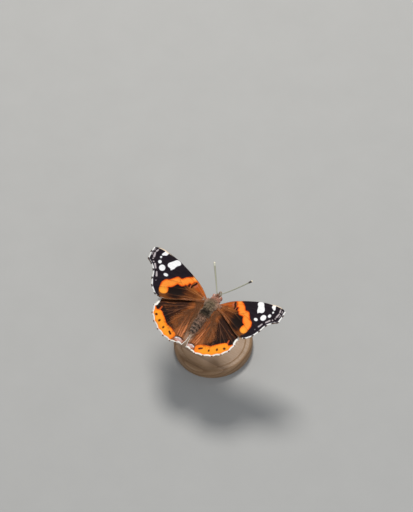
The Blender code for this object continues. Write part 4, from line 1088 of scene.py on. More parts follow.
def body_marks(p):
    """How dark, pale, warm and olive the coat is at each place, 0 to 1; the skin takes the same."""
    x, y, z = p[..., 0], p[..., 1], p[..., 2]
    w = np.abs(y)
    up = smooth((z - body_centre_z(x)) / 1.2 + 0.3)
    thorax, abdomen = smooth((x + 4.6) / 0.3) * smooth((4.1 - x) / 0.3), smooth((-4.5 - x) / 0.3)
    head = smooth((x - 3.9) / 0.3)
    dark, pale, warm, olive = np.zeros_like(x), np.zeros_like(x), np.zeros_like(x), np.zeros_like(x)
    # thorax: grey-tan, with a paler line down each flank and dark marks behind
    dark += thorax * up * (0.10 * smooth((1.0 - x) / 1.5) + 0.66 * smooth((-1.2 - x) / 1.0) * smooth((1.75 - w) / 0.7) * smooth((x + 4.5) / 1.2))
    for cx, cy, r in ((-2.9, 0.0, 0.80), (-2.4, 1.0, 0.55), (-1.1, 0.55, 0.34), (1.1, 0.95, 0.30)):
        dark += 0.62 * thorax * up * smooth((r - np.hypot(x - cx, w - cy)) / 0.3 + 0.4)
    dark += 0.45 * np.exp(-((x + 4.45) / 0.28) ** 2) * up
    pale += thorax * (0.70 * smooth((w - 1.75) / 0.7) * smooth((x + 0.9) / 1.2) + 0.48 * smooth((x - 1.3) / 1.4)) * smooth((z + 0.9) / 0.8)
    pale += 0.35 * smooth((x - 3.5) / 0.4) * smooth((4.6 - x) / 0.4)
    pale += 0.45 * thorax * np.exp(-((x + 2.5) / 0.6) ** 2 - ((w - 2.2) / 0.45) ** 2)
    pale += 0.55 * np.exp(-((w - 2.15) / 0.40) ** 2) * smooth((x - 0.2) / 0.8) * smooth((4.4 - x) / 0.6) * smooth((z + 0.6) / 0.6)
    warm += thorax * smooth((w - 1.3) / 1.2) * 0.5 + 0.45 * thorax * smooth((x - 1.4) / 1.3)
    olive += thorax * up * smooth((2.0 - w) / 0.8) * 0.75
    # abdomen: grey above with dark rings, tighter and stronger toward the tip; pale below
    for cx, width, depth in ((-5.35, 0.30, 0.45), (-6.3, 0.24, 0.38), (-7.6, 0.22, 0.30), (-8.9, 0.24, 0.52), (-10.45, 0.26, 0.62),
                             (-12.15, 0.30, 0.85), (-13.45, 0.30, 0.85)):
        dark += depth * abdomen * np.exp(-((x - cx) / width) ** 2) * smooth((z + 1.6) / 1.2)
    for cx in (-6.3, -7.6, -8.95, -10.45, -12.15, -13.45):
        dark += 0.55 * abdomen * np.exp(-((x - cx) / 0.42) ** 2 - ((w - 0.42) / 0.30) ** 2) * up * smooth((-4.9 - x) / 6.0)
    for cx in (-9.7, -11.45, -12.85, -14.4):
        pale += 0.42 * abdomen * np.exp(-((x - cx) / 0.30) ** 2) * up
    dark += abdomen * up * (0.16 + 0.46 * smooth((-8.0 - x) / 4.0))
    olive += 0.45 * abdomen * smooth((w - 0.9) / 0.8) * up
    warm += 0.62 * abdomen
    # underside paler, yellowish grey
    under = smooth((body_centre_z(x) - z - 0.3) / 1.0)
    pale += under * (0.35 * thorax + 0.62 * abdomen)
    # head: brown-grey crown, paler face and a pale ring round each eye
    dark += head * 0.12 * up * smooth((0.7 - w) / 0.3)
    ring = np.sqrt(((x - 5.06) / 0.98) ** 2 + ((z + 0.52) / 1.12) ** 2)
    pale += head * 0.9 * np.exp(-((ring - 1.06) / 0.16) ** 2) * smooth((w - 0.35) / 0.3)
    warm += head * 0.95 + 0.80 * smooth((x - 3.0) / 0.7) * smooth((z + 1.2) / 0.8) * (1 - head)
    olive *= 1 - smooth((x - 2.4) / 1.0)
    dark += 0.55 * up * np.exp(-(w / 0.30) ** 2 - ((x - 4.1) / 0.45) ** 2)
    pale += head * up * 0.62 * smooth((w - 0.25) / 0.5)
    # small flecks, uneven from side to side
    fleck = np.sin(4.7 * x + 1.9 * np.sin(3.1 * y + 0.6)) * np.sin(5.9 * y + 1.3 * np.sin(3.7 * x + 2.0)) + 0.5 * np.sin(9.1 * x - 2.0 * y + 0.7) * np.sin(8.3 * y + 1.1)
    where = up * (thorax + 0.75 * abdomen) * (1 - 0.75 * smooth((x - 0.8) / 1.2))
    dark += 0.85 * where * smooth((fleck - 0.10) / 0.50)
    rear = thorax * smooth((-1.6 - x) / 0.8) * smooth((1.9 - w) / 0.5)
    pale += 0.65 * where * smooth((-fleck - 0.25) / 0.45) * (1 - 0.85 * rear)
    dark += 0.30 * rear * up
    return {"dark": np.clip(dark, 0, 1), "pale": np.clip(pale, 0, 1), "warm": np.clip(warm, 0, 1), "olive": np.clip(olive, 0, 1)}


def coat_look(name, tips=1.0, grain=1.0):
    """The hair-scales' colours; the same marks colour the skin below them."""
    k = Look(name, 0.62, Specular_IOR_Level=0.25)
    chance, along = k.attribute("chance"), k.attribute("along")
    where = k.node("ShaderNodeTexCoord").outputs["Object"]
    patchy = k.step(k.noise(where, 1300.0, 3.0, 0.6), 0.36, 0.64)
    base = k.mix(chance, (0.27, 0.155, 0.085), (0.54, 0.36, 0.23))
    c = k.mix(k.attribute("olive"), base, k.mix(chance, (0.165, 0.125, 0.058), (0.38, 0.30, 0.165)))
    warm = k.maths("POWER", k.attribute("warm"), 1.5)
    c = k.mix(warm, c, k.mix(chance, (0.38, 0.150, 0.092), (0.72, 0.33, 0.215)))
    c = k.mix(k.attribute("dark"), c, k.mix(chance, (0.016, 0.012, 0.009), (0.060, 0.043, 0.030)))
    pale = k.mix(warm, k.mix(chance, (0.60, 0.41, 0.27), (0.86, 0.68, 0.50)), k.mix(chance, (0.56, 0.27, 0.19), (0.84, 0.47, 0.35)))
    c = k.mix(k.attribute("pale"), c, pale)
    c = k.mix(k.times(k.times(k.add(1.0, k.times(patchy, -1.0)), 0.60), k.add(1.0, k.times(k.maths("MAXIMUM", warm, k.attribute("pale")), -0.6))), c, (0.035, 0.024, 0.014))
    # painted shade: each tuft darker toward its root, down in the coat
    shade = k.step(along, 0.0, 0.6, 0.55, 1.0)
    n = k.node("ShaderNodeMix", data_type="RGBA", blend_type="MULTIPLY")
    n.inputs["Factor"].default_value = 1.0
    k.put(n.inputs[6], c)
    k.tree.links.new(shade, n.inputs[7])
    c = k.mix(k.times(k.step(along, 0.55, 1.0, 0.0, 0.42 * tips), k.add(1.0, k.times(k.attribute("dark"), -0.9))), n.outputs[2], k.mix(warm, (0.70, 0.50, 0.33), (0.72, 0.40, 0.28)))
    k.rough(k.step(chance, 0.0, 1.0, 0.55, 0.80))
    return k.colour(c)


def skin_look():
    k = Look("body_skin", 0.66)
    where = k.node("ShaderNodeTexCoord").outputs["Object"]
    hairs = k.noise(k.scaled(where, (9000.0, 2200.0, 9000.0)), 1.0, 3.0, 0.6)
    base = k.mix(hairs, (0.13, 0.088, 0.055), (0.29, 0.21, 0.145))
    c = k.mix(k.attribute("olive"), base, k.mix(hairs, (0.085, 0.070, 0.036), (0.20, 0.165, 0.100)))
    c = k.mix(k.maths("POWER", k.attribute("warm"), 1.5), c, k.mix(hairs, (0.17, 0.085, 0.048), (0.34, 0.19, 0.12)))
    c = k.mix(k.attribute("dark"), c, k.mix(hairs, (0.012, 0.010, 0.009), (0.040, 0.032, 0.025)))
    c = k.mix(k.attribute("pale"), c, k.mix(hairs, (0.36, 0.27, 0.21), (0.60, 0.49, 0.40)))
    k.bump(hairs, 0.5, 0.00006)
    return k.colour(c)


skin_material = skin_look()


def make_skin():
    c = COAT["thorax"]
    thorax = [(x, max(0.5, w - c), top - c, bottom + c) for x, w, top, bottom in THORAX]
    x = np.linspace(-4.85, -14.78, 90)
    w, middle = abdomen_section(x)
    inner = np.maximum(0.10, w - COAT["abdomen"])
    # the rear edge of each segment overlaps the front of the next
    u = (ABDOMEN_FRONT - x) / (ABDOMEN_FRONT - ABDOMEN_TIP) * 8
    inner = inner * (1 + 0.022 * (u - np.floor(u)) - 0.014)
    abdomen = [(xi, wi, mi + wi * 0.94, mi - wi * 0.94) for xi, wi, mi in zip(x, inner, middle)]
    h = COAT["head"]
    pieces = [loft_points(thorax), loft_points(abdomen),
              ellipsoid_points((4.93, 0, -0.56), (HEAD_SIZE[0] - h, 1.30, HEAD_SIZE[2] - h)),
              ellipsoid_points((3.45, 0, -0.55), (1.25, 1.62, 1.22)),         # neck and the collar round it
              ellipsoid_points((3.55, 0, -0.62), (1.05, 1.92, 1.25)),
              ellipsoid_points((2.6, 0, -0.55), (1.2, 2.02, 1.62)),
              ellipsoid_points((-4.8, 0, -0.45), (1.65, 2.05, 1.42))]          # waist
    for _, s in SIDES:
        pieces.append(ellipsoid_points((1.15, s * 2.02, 0.50), (1.50, 0.50, 0.42)))     # shoulder flaps over the wing roots
        pieces.append(ellipsoid_points((-3.3, s * 1.30, -0.05), (1.55, 0.80, 0.85)))
        pieces.append(ellipsoid_points((5.72, s * 0.58, 0.42), (0.26, 0.26, 0.22)))     # antenna sockets
        pieces.append(ellipsoid_points((5.60, s * 0.50, -1.30), (0.42, 0.32, 0.32)))    # palp roots
        for pair, (joints, radii) in LEGS.items():                                      # coxae
            hip = np.array(joints[0]) * (1, s, 1)
            top = np.array([hip[0] - 0.12, s * 0.82, -2.05])
            points, faces, _, _ = tube([top, mixed(top, hip, 0.5), hip + (0, 0, 0.28)], (0.52, 0.46, 0.34), 14)
            pieces.append((points, faces))
    points, faces = fused(pieces, 0.105, 5)
    spots = body_marks(points)
    obj = build("body_skin", place(points), faces, spots, None, (skin_material,))
    settle(obj, "body_hair", "head", "thorax", "abdomen")
    return points, faces


# ---- the coat ---------------------------------------------------------------------------------
def roots_on(points, faces, count, density):
    """Seeded places on the skin, thinned by density(p), with their normals."""
    tri = np.vstack([g[:, [0, 1, 2]] for g in faces] + [g[:, [0, 2, 3]] for g in faces if g.shape[1] == 4])
    a, b, c = points[tri[:, 0]], points[tri[:, 1]], points[tri[:, 2]]
    n = np.cross(b - a, c - a)
    weight = np.linalg.norm(n, axis=1) * np.clip(density((a + b + c) / 3), 0, None)
    pick = RNG.choice(len(tri), count, p=weight / weight.sum())
    r = np.sqrt(RNG.random((count, 1)))
    q = RNG.random((count, 1))
    where = a[pick] * (1 - r) + b[pick] * (r * (1 - q)) + c[pick] * (r * q)
    return where, unit(n[pick])


def combed(normal, towards, rise):
    """Along the surface toward a direction, then lifted off it by rise."""
    flat = unit(towards - (towards * normal).sum(1, keepdims=True) * normal)
    return unit(flat + rise[:, None] * normal), flat


def wing_gate(p):
    """0 where a wing root leaves the thorax."""
    x, w, z = p[:, 0], np.abs(p[:, 1]), p[:, 2]
    fore = (np.abs(x - 1.1) < 1.15) & (w > 1.6) & (np.abs(z - 0.15) < 0.42)
    hind = (x < -1.6) & (x > -4.9) & (w > 1.4) & (np.abs(z + 0.12) < 0.34)
    return np.where(fore | hind, 0.0, 1.0)


def make_body_coat(points, faces):
    hair = coat_look("body_hair_scales", 0.65)
    fine = coat_look("face_scales", 0.6)

    def coat(name, count, zone, length, width, rise, droop, material, collar=False):
        where, normal = roots_on(points, faces, count, zone)
        n = len(where)
        x, y, z = where.T
        towards = np.stack([mixed(-1.0, 0.85, smooth((x - 3.0) / 0.5) * float(collar)), 0.22 * np.sign(y) * smooth((np.abs(y) - 0.4) / 1.4), -droop * smooth((np.abs(y) - 1.2) / 1.2)], 1)
        towards += RNG.normal(0, 0.13, (n, 3))
        size = length(where) * RNG.uniform(0.72, 1.12, n)
        lift = rise(where) * RNG.uniform(0.7, 1.3, n)
        first, flat = combed(normal, towards, lift)
        lie = unit(flat + 0.06 * normal)
        spots = body_marks(where + RNG.normal(0, 0.10, (n, 3)))
        obj = tufts(name, where - 0.03 * normal, first, lie, size, width * RNG.uniform(0.75, 1.25, n), spots, body_uv(where), material)
        return settle(obj, "body_hair")

    def at_thorax(p):
        return smooth((p[:, 0] + 4.75) / 0.3) * smooth((4.15 - p[:, 0]) / 0.35) * wing_gate(p)

    def above(p):
        return smooth((p[:, 2] + 0.35) / 0.4)

    def long_hair(p):
        x, w, z = p[:, 0], np.abs(p[:, 1]), p[:, 2]
        return (0.98 + 0.25 * smooth((w - 1.2) / 1.0) + 0.18 * smooth((-1.5 - x) / 2.0) - 0.22 * smooth((x - 2.9) / 0.9)
                - 0.35 * smooth((-z - 1.2) / 1.0) - 0.20 * smooth((-3.3 - x) / 0.9))

    coat("thorax_coat_back", 12000, lambda p: at_thorax(p) * above(p), long_hair, 0.070, lambda p: np.full(len(p), 0.30), 0.30, hair)
    coat("thorax_coat_silk", 5200, lambda p: at_thorax(p) * above(p) * (0.35 + smooth((np.abs(p[:, 1]) - 1.3) / 0.8)),
         lambda p: 1.35 * long_hair(p), 0.045, lambda p: np.full(len(p), 0.20), 0.45, hair)
    coat("thorax_coat_under", 5800, lambda p: at_thorax(p) * (1 - above(p)), lambda p: 0.62 * long_hair(p), 0.085,
         lambda p: np.full(len(p), 0.36), 0.2, hair)
    coat("abdomen_coat", 12000, lambda p: smooth((-4.45 - p[:, 0]) / 0.25), lambda p: mixed(0.66, 0.46, smooth((-9 - p[:, 0]) / 5)), 0.075,
         lambda p: np.full(len(p), 0.30), 0.1, hair)

    coat("collar_coat", 3600, lambda p: smooth((p[:, 0] - 2.9) / 0.3) * smooth((4.3 - p[:, 0]) / 0.2), lambda p: np.full(len(p), 0.80), 0.060,
         lambda p: np.full(len(p), 0.34), 0.0, hair, True)

    # the face: short scales swept back over the crown, forward and down over the brow
    def eye_clear(p):
        d = np.sqrt(((p[:, 0] - 5.06) / 1.0) ** 2 + ((np.abs(p[:, 1]) - 1.30) / 0.98) ** 2 + ((p[:, 2] + 0.52) / 1.14) ** 2)
        return smooth((d - 0.97) / 0.03)

    where, normal = roots_on(points, faces, 7600, lambda p: smooth((p[:, 0] - 3.85) / 0.2) * eye_clear(p))
    n = len(where)
    x, y, z = where.T
    brow = smooth((x - 5.15) / 0.5)
    towards = np.stack([mixed(-1.0, 0.7, brow), 0.15 * np.sign(y), mixed(0.0, 0.55, brow) * np.sign(z + 0.9)], 1) + RNG.normal(0, 0.14, (n, 3))
    first, flat = combed(normal, towards, mixed(0.35, 0.75, brow) * RNG.uniform(0.7, 1.3, n))
    ring = np.sqrt(((x - 5.06) / 0.98) ** 2 + ((z + 0.52) / 1.12) ** 2)
    close = np.exp(-((ring - 1.05) / 0.2) ** 2) * smooth((np.abs(y) - 0.35) / 0.3)
    size = (0.42 + 0.20 * brow * smooth((0.7 - np.abs(y)) / 0.4)) * (1 - 0.45 * close) * RNG.uniform(0.7, 1.15, n)
    face = tufts("head_coat", where - 0.02 * normal, first, unit(flat + 0.1 * normal), size, 0.055 * RNG.uniform(0.8, 1.2, n),
                 body_marks(where), body_uv(where), fine)
    settle(face, "body_hair")
    return hair, fine


# ---- hair at the wing roots and the fringe along the wing margins ------------------------------
def on_wing(kind, ab, side, lift=0.0):
    """A point of a wing's middle sheet and the upward normal there, from plan places."""
    def at(q):
        if kind == "fore":
            return plane(FORE_HINGE, FORE_DIHEDRAL, FORE_PITCH, q[:, 0], q[:, 1])
        line = fold_line(q[:, 1])
        past = np.where(q[:, 0] < line, line - q[:, 0], 0.0) * (q[:, 1] < -2.2)
        return hind_surface(q[:, 0] + past, q[:, 1], past)
    p = at(ab)
    da, db = at(ab + (0.02, 0)) - p, at(ab + (0, 0.02)) - p
    n = unit(np.cross(db, da))
    n = n * np.sign(n[:, 2:3] + 1e-9)
    flip = np.array([1.0, side, 1.0])
    return (p + lift * n) * flip, n * flip, unit(da) * flip, unit(db) * flip


def wing_hair_look(name):
    """Hair over the wing roots, in the wings' own browns."""
    k = Look(name, 0.62, Specular_IOR_Level=0.2)
    chance, along = k.attribute("chance"), k.attribute("along")
    c = k.mix(chance, (0.120, 0.042, 0.014), (0.42, 0.170, 0.062))
    c = k.mix(k.attribute("olive"), c, k.mix(chance, (0.120, 0.078, 0.034), (0.34, 0.240, 0.125)))
    c = k.mix(k.attribute("warm"), c, k.mix(chance, (0.42, 0.095, 0.020), (0.74, 0.26, 0.080)))
    c = k.mix(k.attribute("dark"), c, k.mix(chance, (0.016, 0.008, 0.006), (0.075, 0.028, 0.013)))
    c = k.mix(k.attribute("pale"), c, k.mix(chance, (0.55, 0.40, 0.30), (0.84, 0.70, 0.58)))
    # painted shade: each tuft darker toward its root
    n = k.node("ShaderNodeMix", data_type="RGBA", blend_type="MULTIPLY")
    n.inputs["Factor"].default_value = 1.0
    k.put(n.inputs[6], c)
    k.tree.links.new(k.step(along, 0.0, 0.7, 0.6, 1.0), n.inputs[7])
    k.rough(k.step(chance, 0.0, 1.0, 0.55, 0.80))
    return k.colour(n.outputs[2])


def make_wing_hair():
    look = wing_hair_look("wing_root_hair")
    low_f, high_f = np.array((-0.3, -8.9)), np.array((30.5, 9.1))
    low_h, high_h = np.array((-3.6, -18.9)), np.array((17.7, 4.6))
    for label, side in SIDES:
        # forewing: a short brush over the root, thinning out along the cell
        n = 1700
        r, turn = 0.4 + 4.2 * RNG.random(n) ** 1.9, RNG.uniform(-0.62, 0.50, n)
        ab = np.stack([0.2 + r * np.cos(turn), 1.25 + r * np.sin(turn)], 1)
        front = np.interp(ab[:, 0], (0.7, 2.6, 5.0, 8.6), (2.0, 3.3, 4.7, 6.1)) - 0.15
        rear = np.interp(ab[:, 0], (0.7, 4.0, 8.3), (0.35, -1.2, -3.8)) + 0.15
        ab = ab[(ab[:, 1] < front) & (ab[:, 1] > rear)]
        n = len(ab)
        p, normal, da, db = on_wing("fore", ab, side, 0.075)
        d = ab - (-0.8, 1.2)
        away = unit(da * d[:, :1] + db * d[:, 1:])
        m = fore_marks(ab, side)
        # the hair over the wing base takes the same painted backlight as a warmer tint
        painted_backlight = smooth((m["painted_backlight"] + 0.2) / 0.6)
        # hair over the grooves darker with their painted shade
        spots = {"dark": 0.10 * smooth((m["groove"] + 0.2) / 0.3), "warm": np.clip(0.35 + painted_backlight + 0.6 * smooth((m["line"] + 0.1) / 0.2), 0, 1),
                 "pale": 0.75 * smooth((1.9 - ab[:, 0]) / 0.8) * (RNG.random(n) < 0.55) + 0.35 * smooth((m["rim"] + 0.1) / 0.3),
                 "olive": 0.5 * smooth((2.5 - ab[:, 0]) / 2.0) * (1 - painted_backlight)}
        away = unit(away + RNG.normal(0, 0.07, (n, 3)))
        lie = unit(away + 0.02 * normal)
        near = smooth((3.0 - ab[:, 0]) / 2.5)
        obj = tufts(f"forewing_root_hair_{label}", p - 0.02 * normal, unit(away + (0.12 + 0.30 * near)[:, None] * normal), lie,
                    (0.65 + 0.45 * near) * RNG.uniform(0.7, 1.2, n), 0.040 * RNG.uniform(0.7, 1.2, n), spots,
                    plan_uv(ab, low_f, high_f, True), look)
        settle(obj, "wing_scales")

        # and a row of it lying back over the gap between the two wings
        n = 1500
        at = RNG.random(n) ** 1.4
        a = 0.3 + 8.5 * at
        edge_b = np.interp(a, (0.3, 0.72, 4.0, 8.3, 12.5), (0.5, 0.35, -1.2, -3.8, -6.6))
        ab = np.stack([a, edge_b + RNG.uniform(0.05, 0.75, n)], 1)
        p, normal, da, db = on_wing("fore", ab, side, 0.06)
        back = unit(da * 0.75 - db * 1.0 + RNG.normal(0, 0.10, (n, 3)))
        spots = {"dark": 0.30 * RNG.random(n) * (RNG.random(n) < 0.4), "warm": 0.35 + 0.35 * RNG.random(n), "olive": 0.55 * (RNG.random(n) < 0.4),
                 "pale": 0.35 * (RNG.random(n) < 0.12)}
        obj = tufts(f"wing_joint_hair_{label}", p - 0.02 * normal, unit(back + 0.22 * normal), unit(back - 0.10 * normal),
                    (1.25 - 0.55 * at) * RNG.uniform(0.7, 1.25, n), 0.042 * RNG.uniform(0.7, 1.2, n), spots, plan_uv(ab, low_f, high_f, True), look)
        settle(obj, "wing_scales")

        # hindwing: long hair over the root and down its inner half
        n = 15000
        b = 2.6 - 17.5 * RNG.random(n) ** 1.05
        a = RNG.uniform(-2.6, 1.0, n) + RNG.random(n) ** 1.2 * (1.2 + np.abs(b) * 0.85)
        ab = np.stack([a, b], 1)
        inner = fold_line(b) - fold_reach(b) * 0.9
        keep = (a > np.where(b < -2.2, inner, 0.55)) & (np.hypot(a, b) < 15.4) & (b > -15.2) & (b < 2.8 - 0.1 * a)
        keep &= RNG.random(n) < 1.05 - 0.95 * smooth((np.hypot(np.maximum(a, 0) * 1.25, b * 0.80) - 4.5) / 8.5)
        ab = ab[keep]
        n = len(ab)
        p, normal, da, db = on_wing("hind", ab, side, 0.07)
        d = ab - np.array((-0.6, 4.6))
        away = unit(da * d[:, :1] + db * d[:, 1:])
        m = hind_marks(ab, np.full(n, 3.0), side)
        strip = smooth((m["strip"] + 0.5) / 1.0)
        spots = {"dark": 0.55 * smooth((m["dusk"] + 0.6) / 1.6) + 0.12 * RNG.random(n), "warm": np.clip((0.55 if side > 0 else 1.0) * smooth((m["fold"] + 0.30) / 0.3) + 0.20 * RNG.random(n), 0, 1),
                 "pale": 0.50 * strip * smooth((-ab[:, 1] - 7.0) / 4.0) + 0.20 * smooth((RNG.random(n) - 0.80) / 0.1),
                 "olive": 0.80 * strip * (1 - smooth((-ab[:, 1] - 9.5) / 4)) + 0.30 * smooth((-ab[:, 1] - 1.0) / 3) * smooth((2.5 - ab[:, 0]) / 2)}
        away = unit(away + RNG.normal(0, 0.06, (n, 3)))
        near = smooth((6.5 + ab[:, 1]) / 5.0)
        obj = tufts(f"hindwing_root_hair_{label}", p - 0.02 * normal, unit(away + (0.10 + 0.22 * near)[:, None] * normal), unit(away + 0.015 * normal),
                    (1.15 + 0.25 * near) * RNG.uniform(0.55, 1.3, n), 0.036 * RNG.uniform(0.7, 1.2, n), spots,
                    plan_uv(ab, low_h, high_h, True), look)
        settle(obj, "wing_scales")


def make_inner_hair():
    """Long hair from the folded inner margin of each hindwing, lying back against the abdomen."""
    look = wing_hair_look("inner_margin_hair")
    low, high = np.array((-3.6, -18.9)), np.array((17.7, 4.6))
    for label, side in SIDES:
        n = 4400
        b = -1.0 - 11.6 * RNG.random(n)
        past = RNG.random(n) ** 1.3 * np.minimum(fold_reach(b), 0.95)
        line = fold_line(b)
        p = hind_surface(line, b, past)
        ahead = unit(hind_surface(fold_line(b - 0.05), b - 0.05, past) - hind_surface(fold_line(b + 0.05), b + 0.05, past))
        inward = np.stack([np.zeros(n), -np.ones(n), np.zeros(n)], 1)
        x = HIND_HINGE[0] + b
        gap = np.maximum(0.25, p[:, 1] - abdomen_section(x)[0] + COAT["abdomen"])
        beside = smooth((15.0 + x) / 0.8)
        d = unit(ahead * mixed(2.2, 1.05, beside)[:, None] + inward * mixed(0.1, 1.0, beside)[:, None] * RNG.uniform(0.7, 1.25, (n, 1)) + RNG.normal(0, 0.10, (n, 3)))
        rise = np.stack([np.zeros(n), 0.25 * np.ones(n), np.ones(n)], 1)
        spots = {"dark": 0.22 * RNG.random(n), "warm": (0.55 if side > 0 else 0.95) * smooth((past - 0.1) / -0.2 + 1) * (RNG.random(n) < 0.7), "olive": np.where(RNG.random(n) < (0.55 if side > 0 else 0.35), 0.85, 0.25),
                 "pale": 0.30 * smooth((RNG.random(n) - 0.7) / 0.2) + 0.25 * smooth((-b - 9.5) / 3.0)}
        flip = np.array([1.0, side, 1.0])
        uv = plan_uv(np.stack([line - past, b], 1), low, high, True)
        size = np.clip(gap * 1.45, 0.6, 1.9) * (1 - 0.55 * smooth((-b - 10.8) / 1.4)) * RNG.uniform(0.75, 1.2, n)
        obj = tufts(f"inner_hair_{label}", (p + (0, 0, 0.05)) * flip, unit(d + 0.32 * rise) * flip, unit(d + 0.02 * rise) * flip, size,
                    0.045 * RNG.uniform(0.7, 1.2, n), spots, uv, look)
        settle(obj, "wing_scales")


def make_fringes():
    k = Look("fringe_scales", 0.6, Specular_IOR_Level=0.2)
    chance, along = k.attribute("chance"), k.attribute("along")
    c = k.mix(chance, (0.022, 0.013, 0.012), (0.085, 0.050, 0.034))
    c = k.mix(k.attribute("warm"), c, k.mix(chance, (0.16, 0.06, 0.02), (0.36, 0.19, 0.09)))
    c = k.mix(k.attribute("pale"), c, k.mix(chance, (0.80, 0.77, 0.70), (0.96, 0.95, 0.92)))
    k.rough(k.step(chance, 0.0, 1.0, 0.50, 0.70))
    look = k.colour(c)
    for kind, label, side in ((kind, *pair) for kind in ("fore", "hind") for pair in SIDES):
        if kind == "fore":
            front, rear, root, outer, t, s = fore_grid(900, 500)
            low, high = np.array((-0.3, -8.9)), np.array((30.5, 9.1))
            runs = ((outer, FRINGE, 0.40, 0.060), (rear[60:], 0.16, 0.26, 0.075))
        else:
            front, rear, root, outer, t, s = hind_grid(900, 500, side)
            low, high = np.array((-3.6, -18.9)), np.array((17.7, 4.6))
            edge = np.stack([rear[:, 0] - fold_reach(rear[:, 1]) + 0.06, rear[:, 1]], -1)
            runs = ((outer, FRINGE, 0.42, 0.060), (edge[150:], 0.0, 0.22, 0.075))
        bits = {key: [] for key in ("root", "first", "lie", "size", "wide", "uv", "pale", "warm", "across")}
        for order, (curve, inset, length, pitch) in enumerate(runs):
            total = chords(curve)[-1]
            for row in range(3):
                at = np.arange(0.5 * pitch * (row + 1) / 3, total, pitch)
                q = spline(curve[::6], at / total)
                d = unit(spline(curve[::6], np.minimum(1, at / total + 0.004)) - spline(curve[::6], np.maximum(0, at / total - 0.004)))
                out = np.stack([-d[:, 1], d[:, 0]], 1) if order == 0 else np.stack([d[:, 1], -d[:, 0]], 1)
                ab = q - out * (inset + 0.05 + 0.045 * row)
                p, normal, da, db = on_wing(kind, ab, side, 0.018 * (1 - row))
                n = len(ab)
                dirs = unit(da * out[:, :1] + db * out[:, 1:] + RNG.normal(0, 0.07, (n, 3)) + 0.03 * (1 - row) * normal)
                near = np.full(n, 0.1)
                white = fore_fringe(q, near) if kind == "fore" else hind_fringe(q, near, side)
                white = smooth((white + 0.08) / 0.16)
                warm = np.full(n, 0.55 if kind == "hind" else 0.25)
                if order == 1:          # the inner margins are edged in brown, paler toward the hindwing's rear corner
                    white = np.full(n, 0.10) if kind == "fore" else 0.95 * smooth((-q[:, 1] - 10.5) / 1.5)
                    warm = np.full(n, 0.9)
                bits["root"].append(p)
                bits["first"].append(dirs)
                bits["lie"].append(dirs)
                bits["across"].append(unit(da * d[:, :1] + db * d[:, 1:]))
                bits["size"].append((length + 0.05 * row) * RNG.uniform(0.80, 1.08, n))
                bits["wide"].append(np.full(n, pitch * 1.95))
                bits["uv"].append(plan_uv(ab, low, high, True))
                bits["pale"].append((white > RNG.uniform(0.25, 0.75, n)).astype(float))
                bits["warm"].append(warm)
        b = {key: np.concatenate(v) for key, v in bits.items()}
        obj = tufts(f"{kind}wing_fringe_{label}", b["root"], b["first"], b["lie"], b["size"], b["wide"], {"pale": b["pale"], "warm": b["warm"]},
                    b["uv"], look, across=b["across"], thin=0.30)
        settle(obj, "wing_scales")


# ---- eyes, palps, antennae and proboscis ------------------------------------------------------
def eye_look():
    """Fine six-sided facets on a glossy rind, brown with darker blotches and a pale rim."""
    k = Look("compound_eye", 0.16, Coat_Weight=0.6, Coat_Roughness=0.06)
    facets = k.attribute("facets", True)
    cell = k.cells(k.scaled(facets, (1.0, 1.0, 1.0)), 1.0, randomness=0.12)
    edge = k.cells(k.scaled(facets, (1.0, 1.0, 1.0)), 1.0, "DISTANCE_TO_EDGE", randomness=0.12)
    blotch = k.noise(k.scaled(facets, (0.16, 0.16, 0.16)), 1.0, 3.0, 0.6)
    c = k.mix(k.step(blotch, 0.35, 0.65), (0.300, 0.076, 0.046), (0.640, 0.265, 0.160))
    c = k.mix(k.step(k.attribute("rim"), 0.0, 1.0), c, (0.72, 0.50, 0.40))
    c = k.mix(k.step(k.attribute("belly"), 0.0, 1.0, 0.0, 0.6), c, (0.42, 0.24, 0.17))
    c = k.mix(k.step(edge, 0.03, 0.12, 0.45, 0.0), c, (0.045, 0.016, 0.012))
    k.bump(k.step(cell, 0.0, 0.55, 1.0, 0.0), 0.45, 0.000010)
    return k.colour(c)


def make_eyes():
    look = eye_look()
    around, rows = 96, 56
    v = np.pi * (np.arange(rows) + 0.5) / rows
    u = 2 * np.pi * np.arange(around) / around
    for label, side in SIDES:
        # poles across the insect, so the facets run in rings round the middle of the eye
        ring = np.stack([np.sin(v)[:, None] * np.cos(u), np.cos(v)[:, None] * np.ones(around), np.sin(v)[:, None] * np.sin(u)], -1)
        ball = np.vstack([ring.reshape(-1, 3), [[0, 1, 0]], [[0, -1, 0]]])
        size = np.array(EYE_SIZE) - 0.02
        half = np.where(ball[:, 1:2] < 0, [[size[0], EYE_INWARD, size[2]]], [size])
        p = (np.array(EYE_CENTRE) + ball * half) * (1, side, 1)
        n = rows * around
        faces = [ring_faces(rows, around), cone_faces(0, around, n, True), cone_faces(n - around, around, n + 1)]
        faces = outward(p, faces)
        rim = smooth((0.22 - ball[:, 1]) / 0.20)
        belly = smooth((-ball[:, 2] - 0.25) / 0.6)
        obj = build(f"compound_{label}", place(p), faces, {"facets": p / 0.062, "rim": rim, "belly": belly}, None, (look,))
        settle(obj, "compound_eye", f"eye_{label}")


PALP_LINE = ((6.0, 0.52, -1.52), (6.72, 0.47, -1.02), (7.32, 0.37, -0.42), (7.80, 0.27, 0.02))    # a little short of the solid's, to leave room for its scales


def palp_line(side, t):
    return spline(PALP_LINE, t) * (1, side, 1)


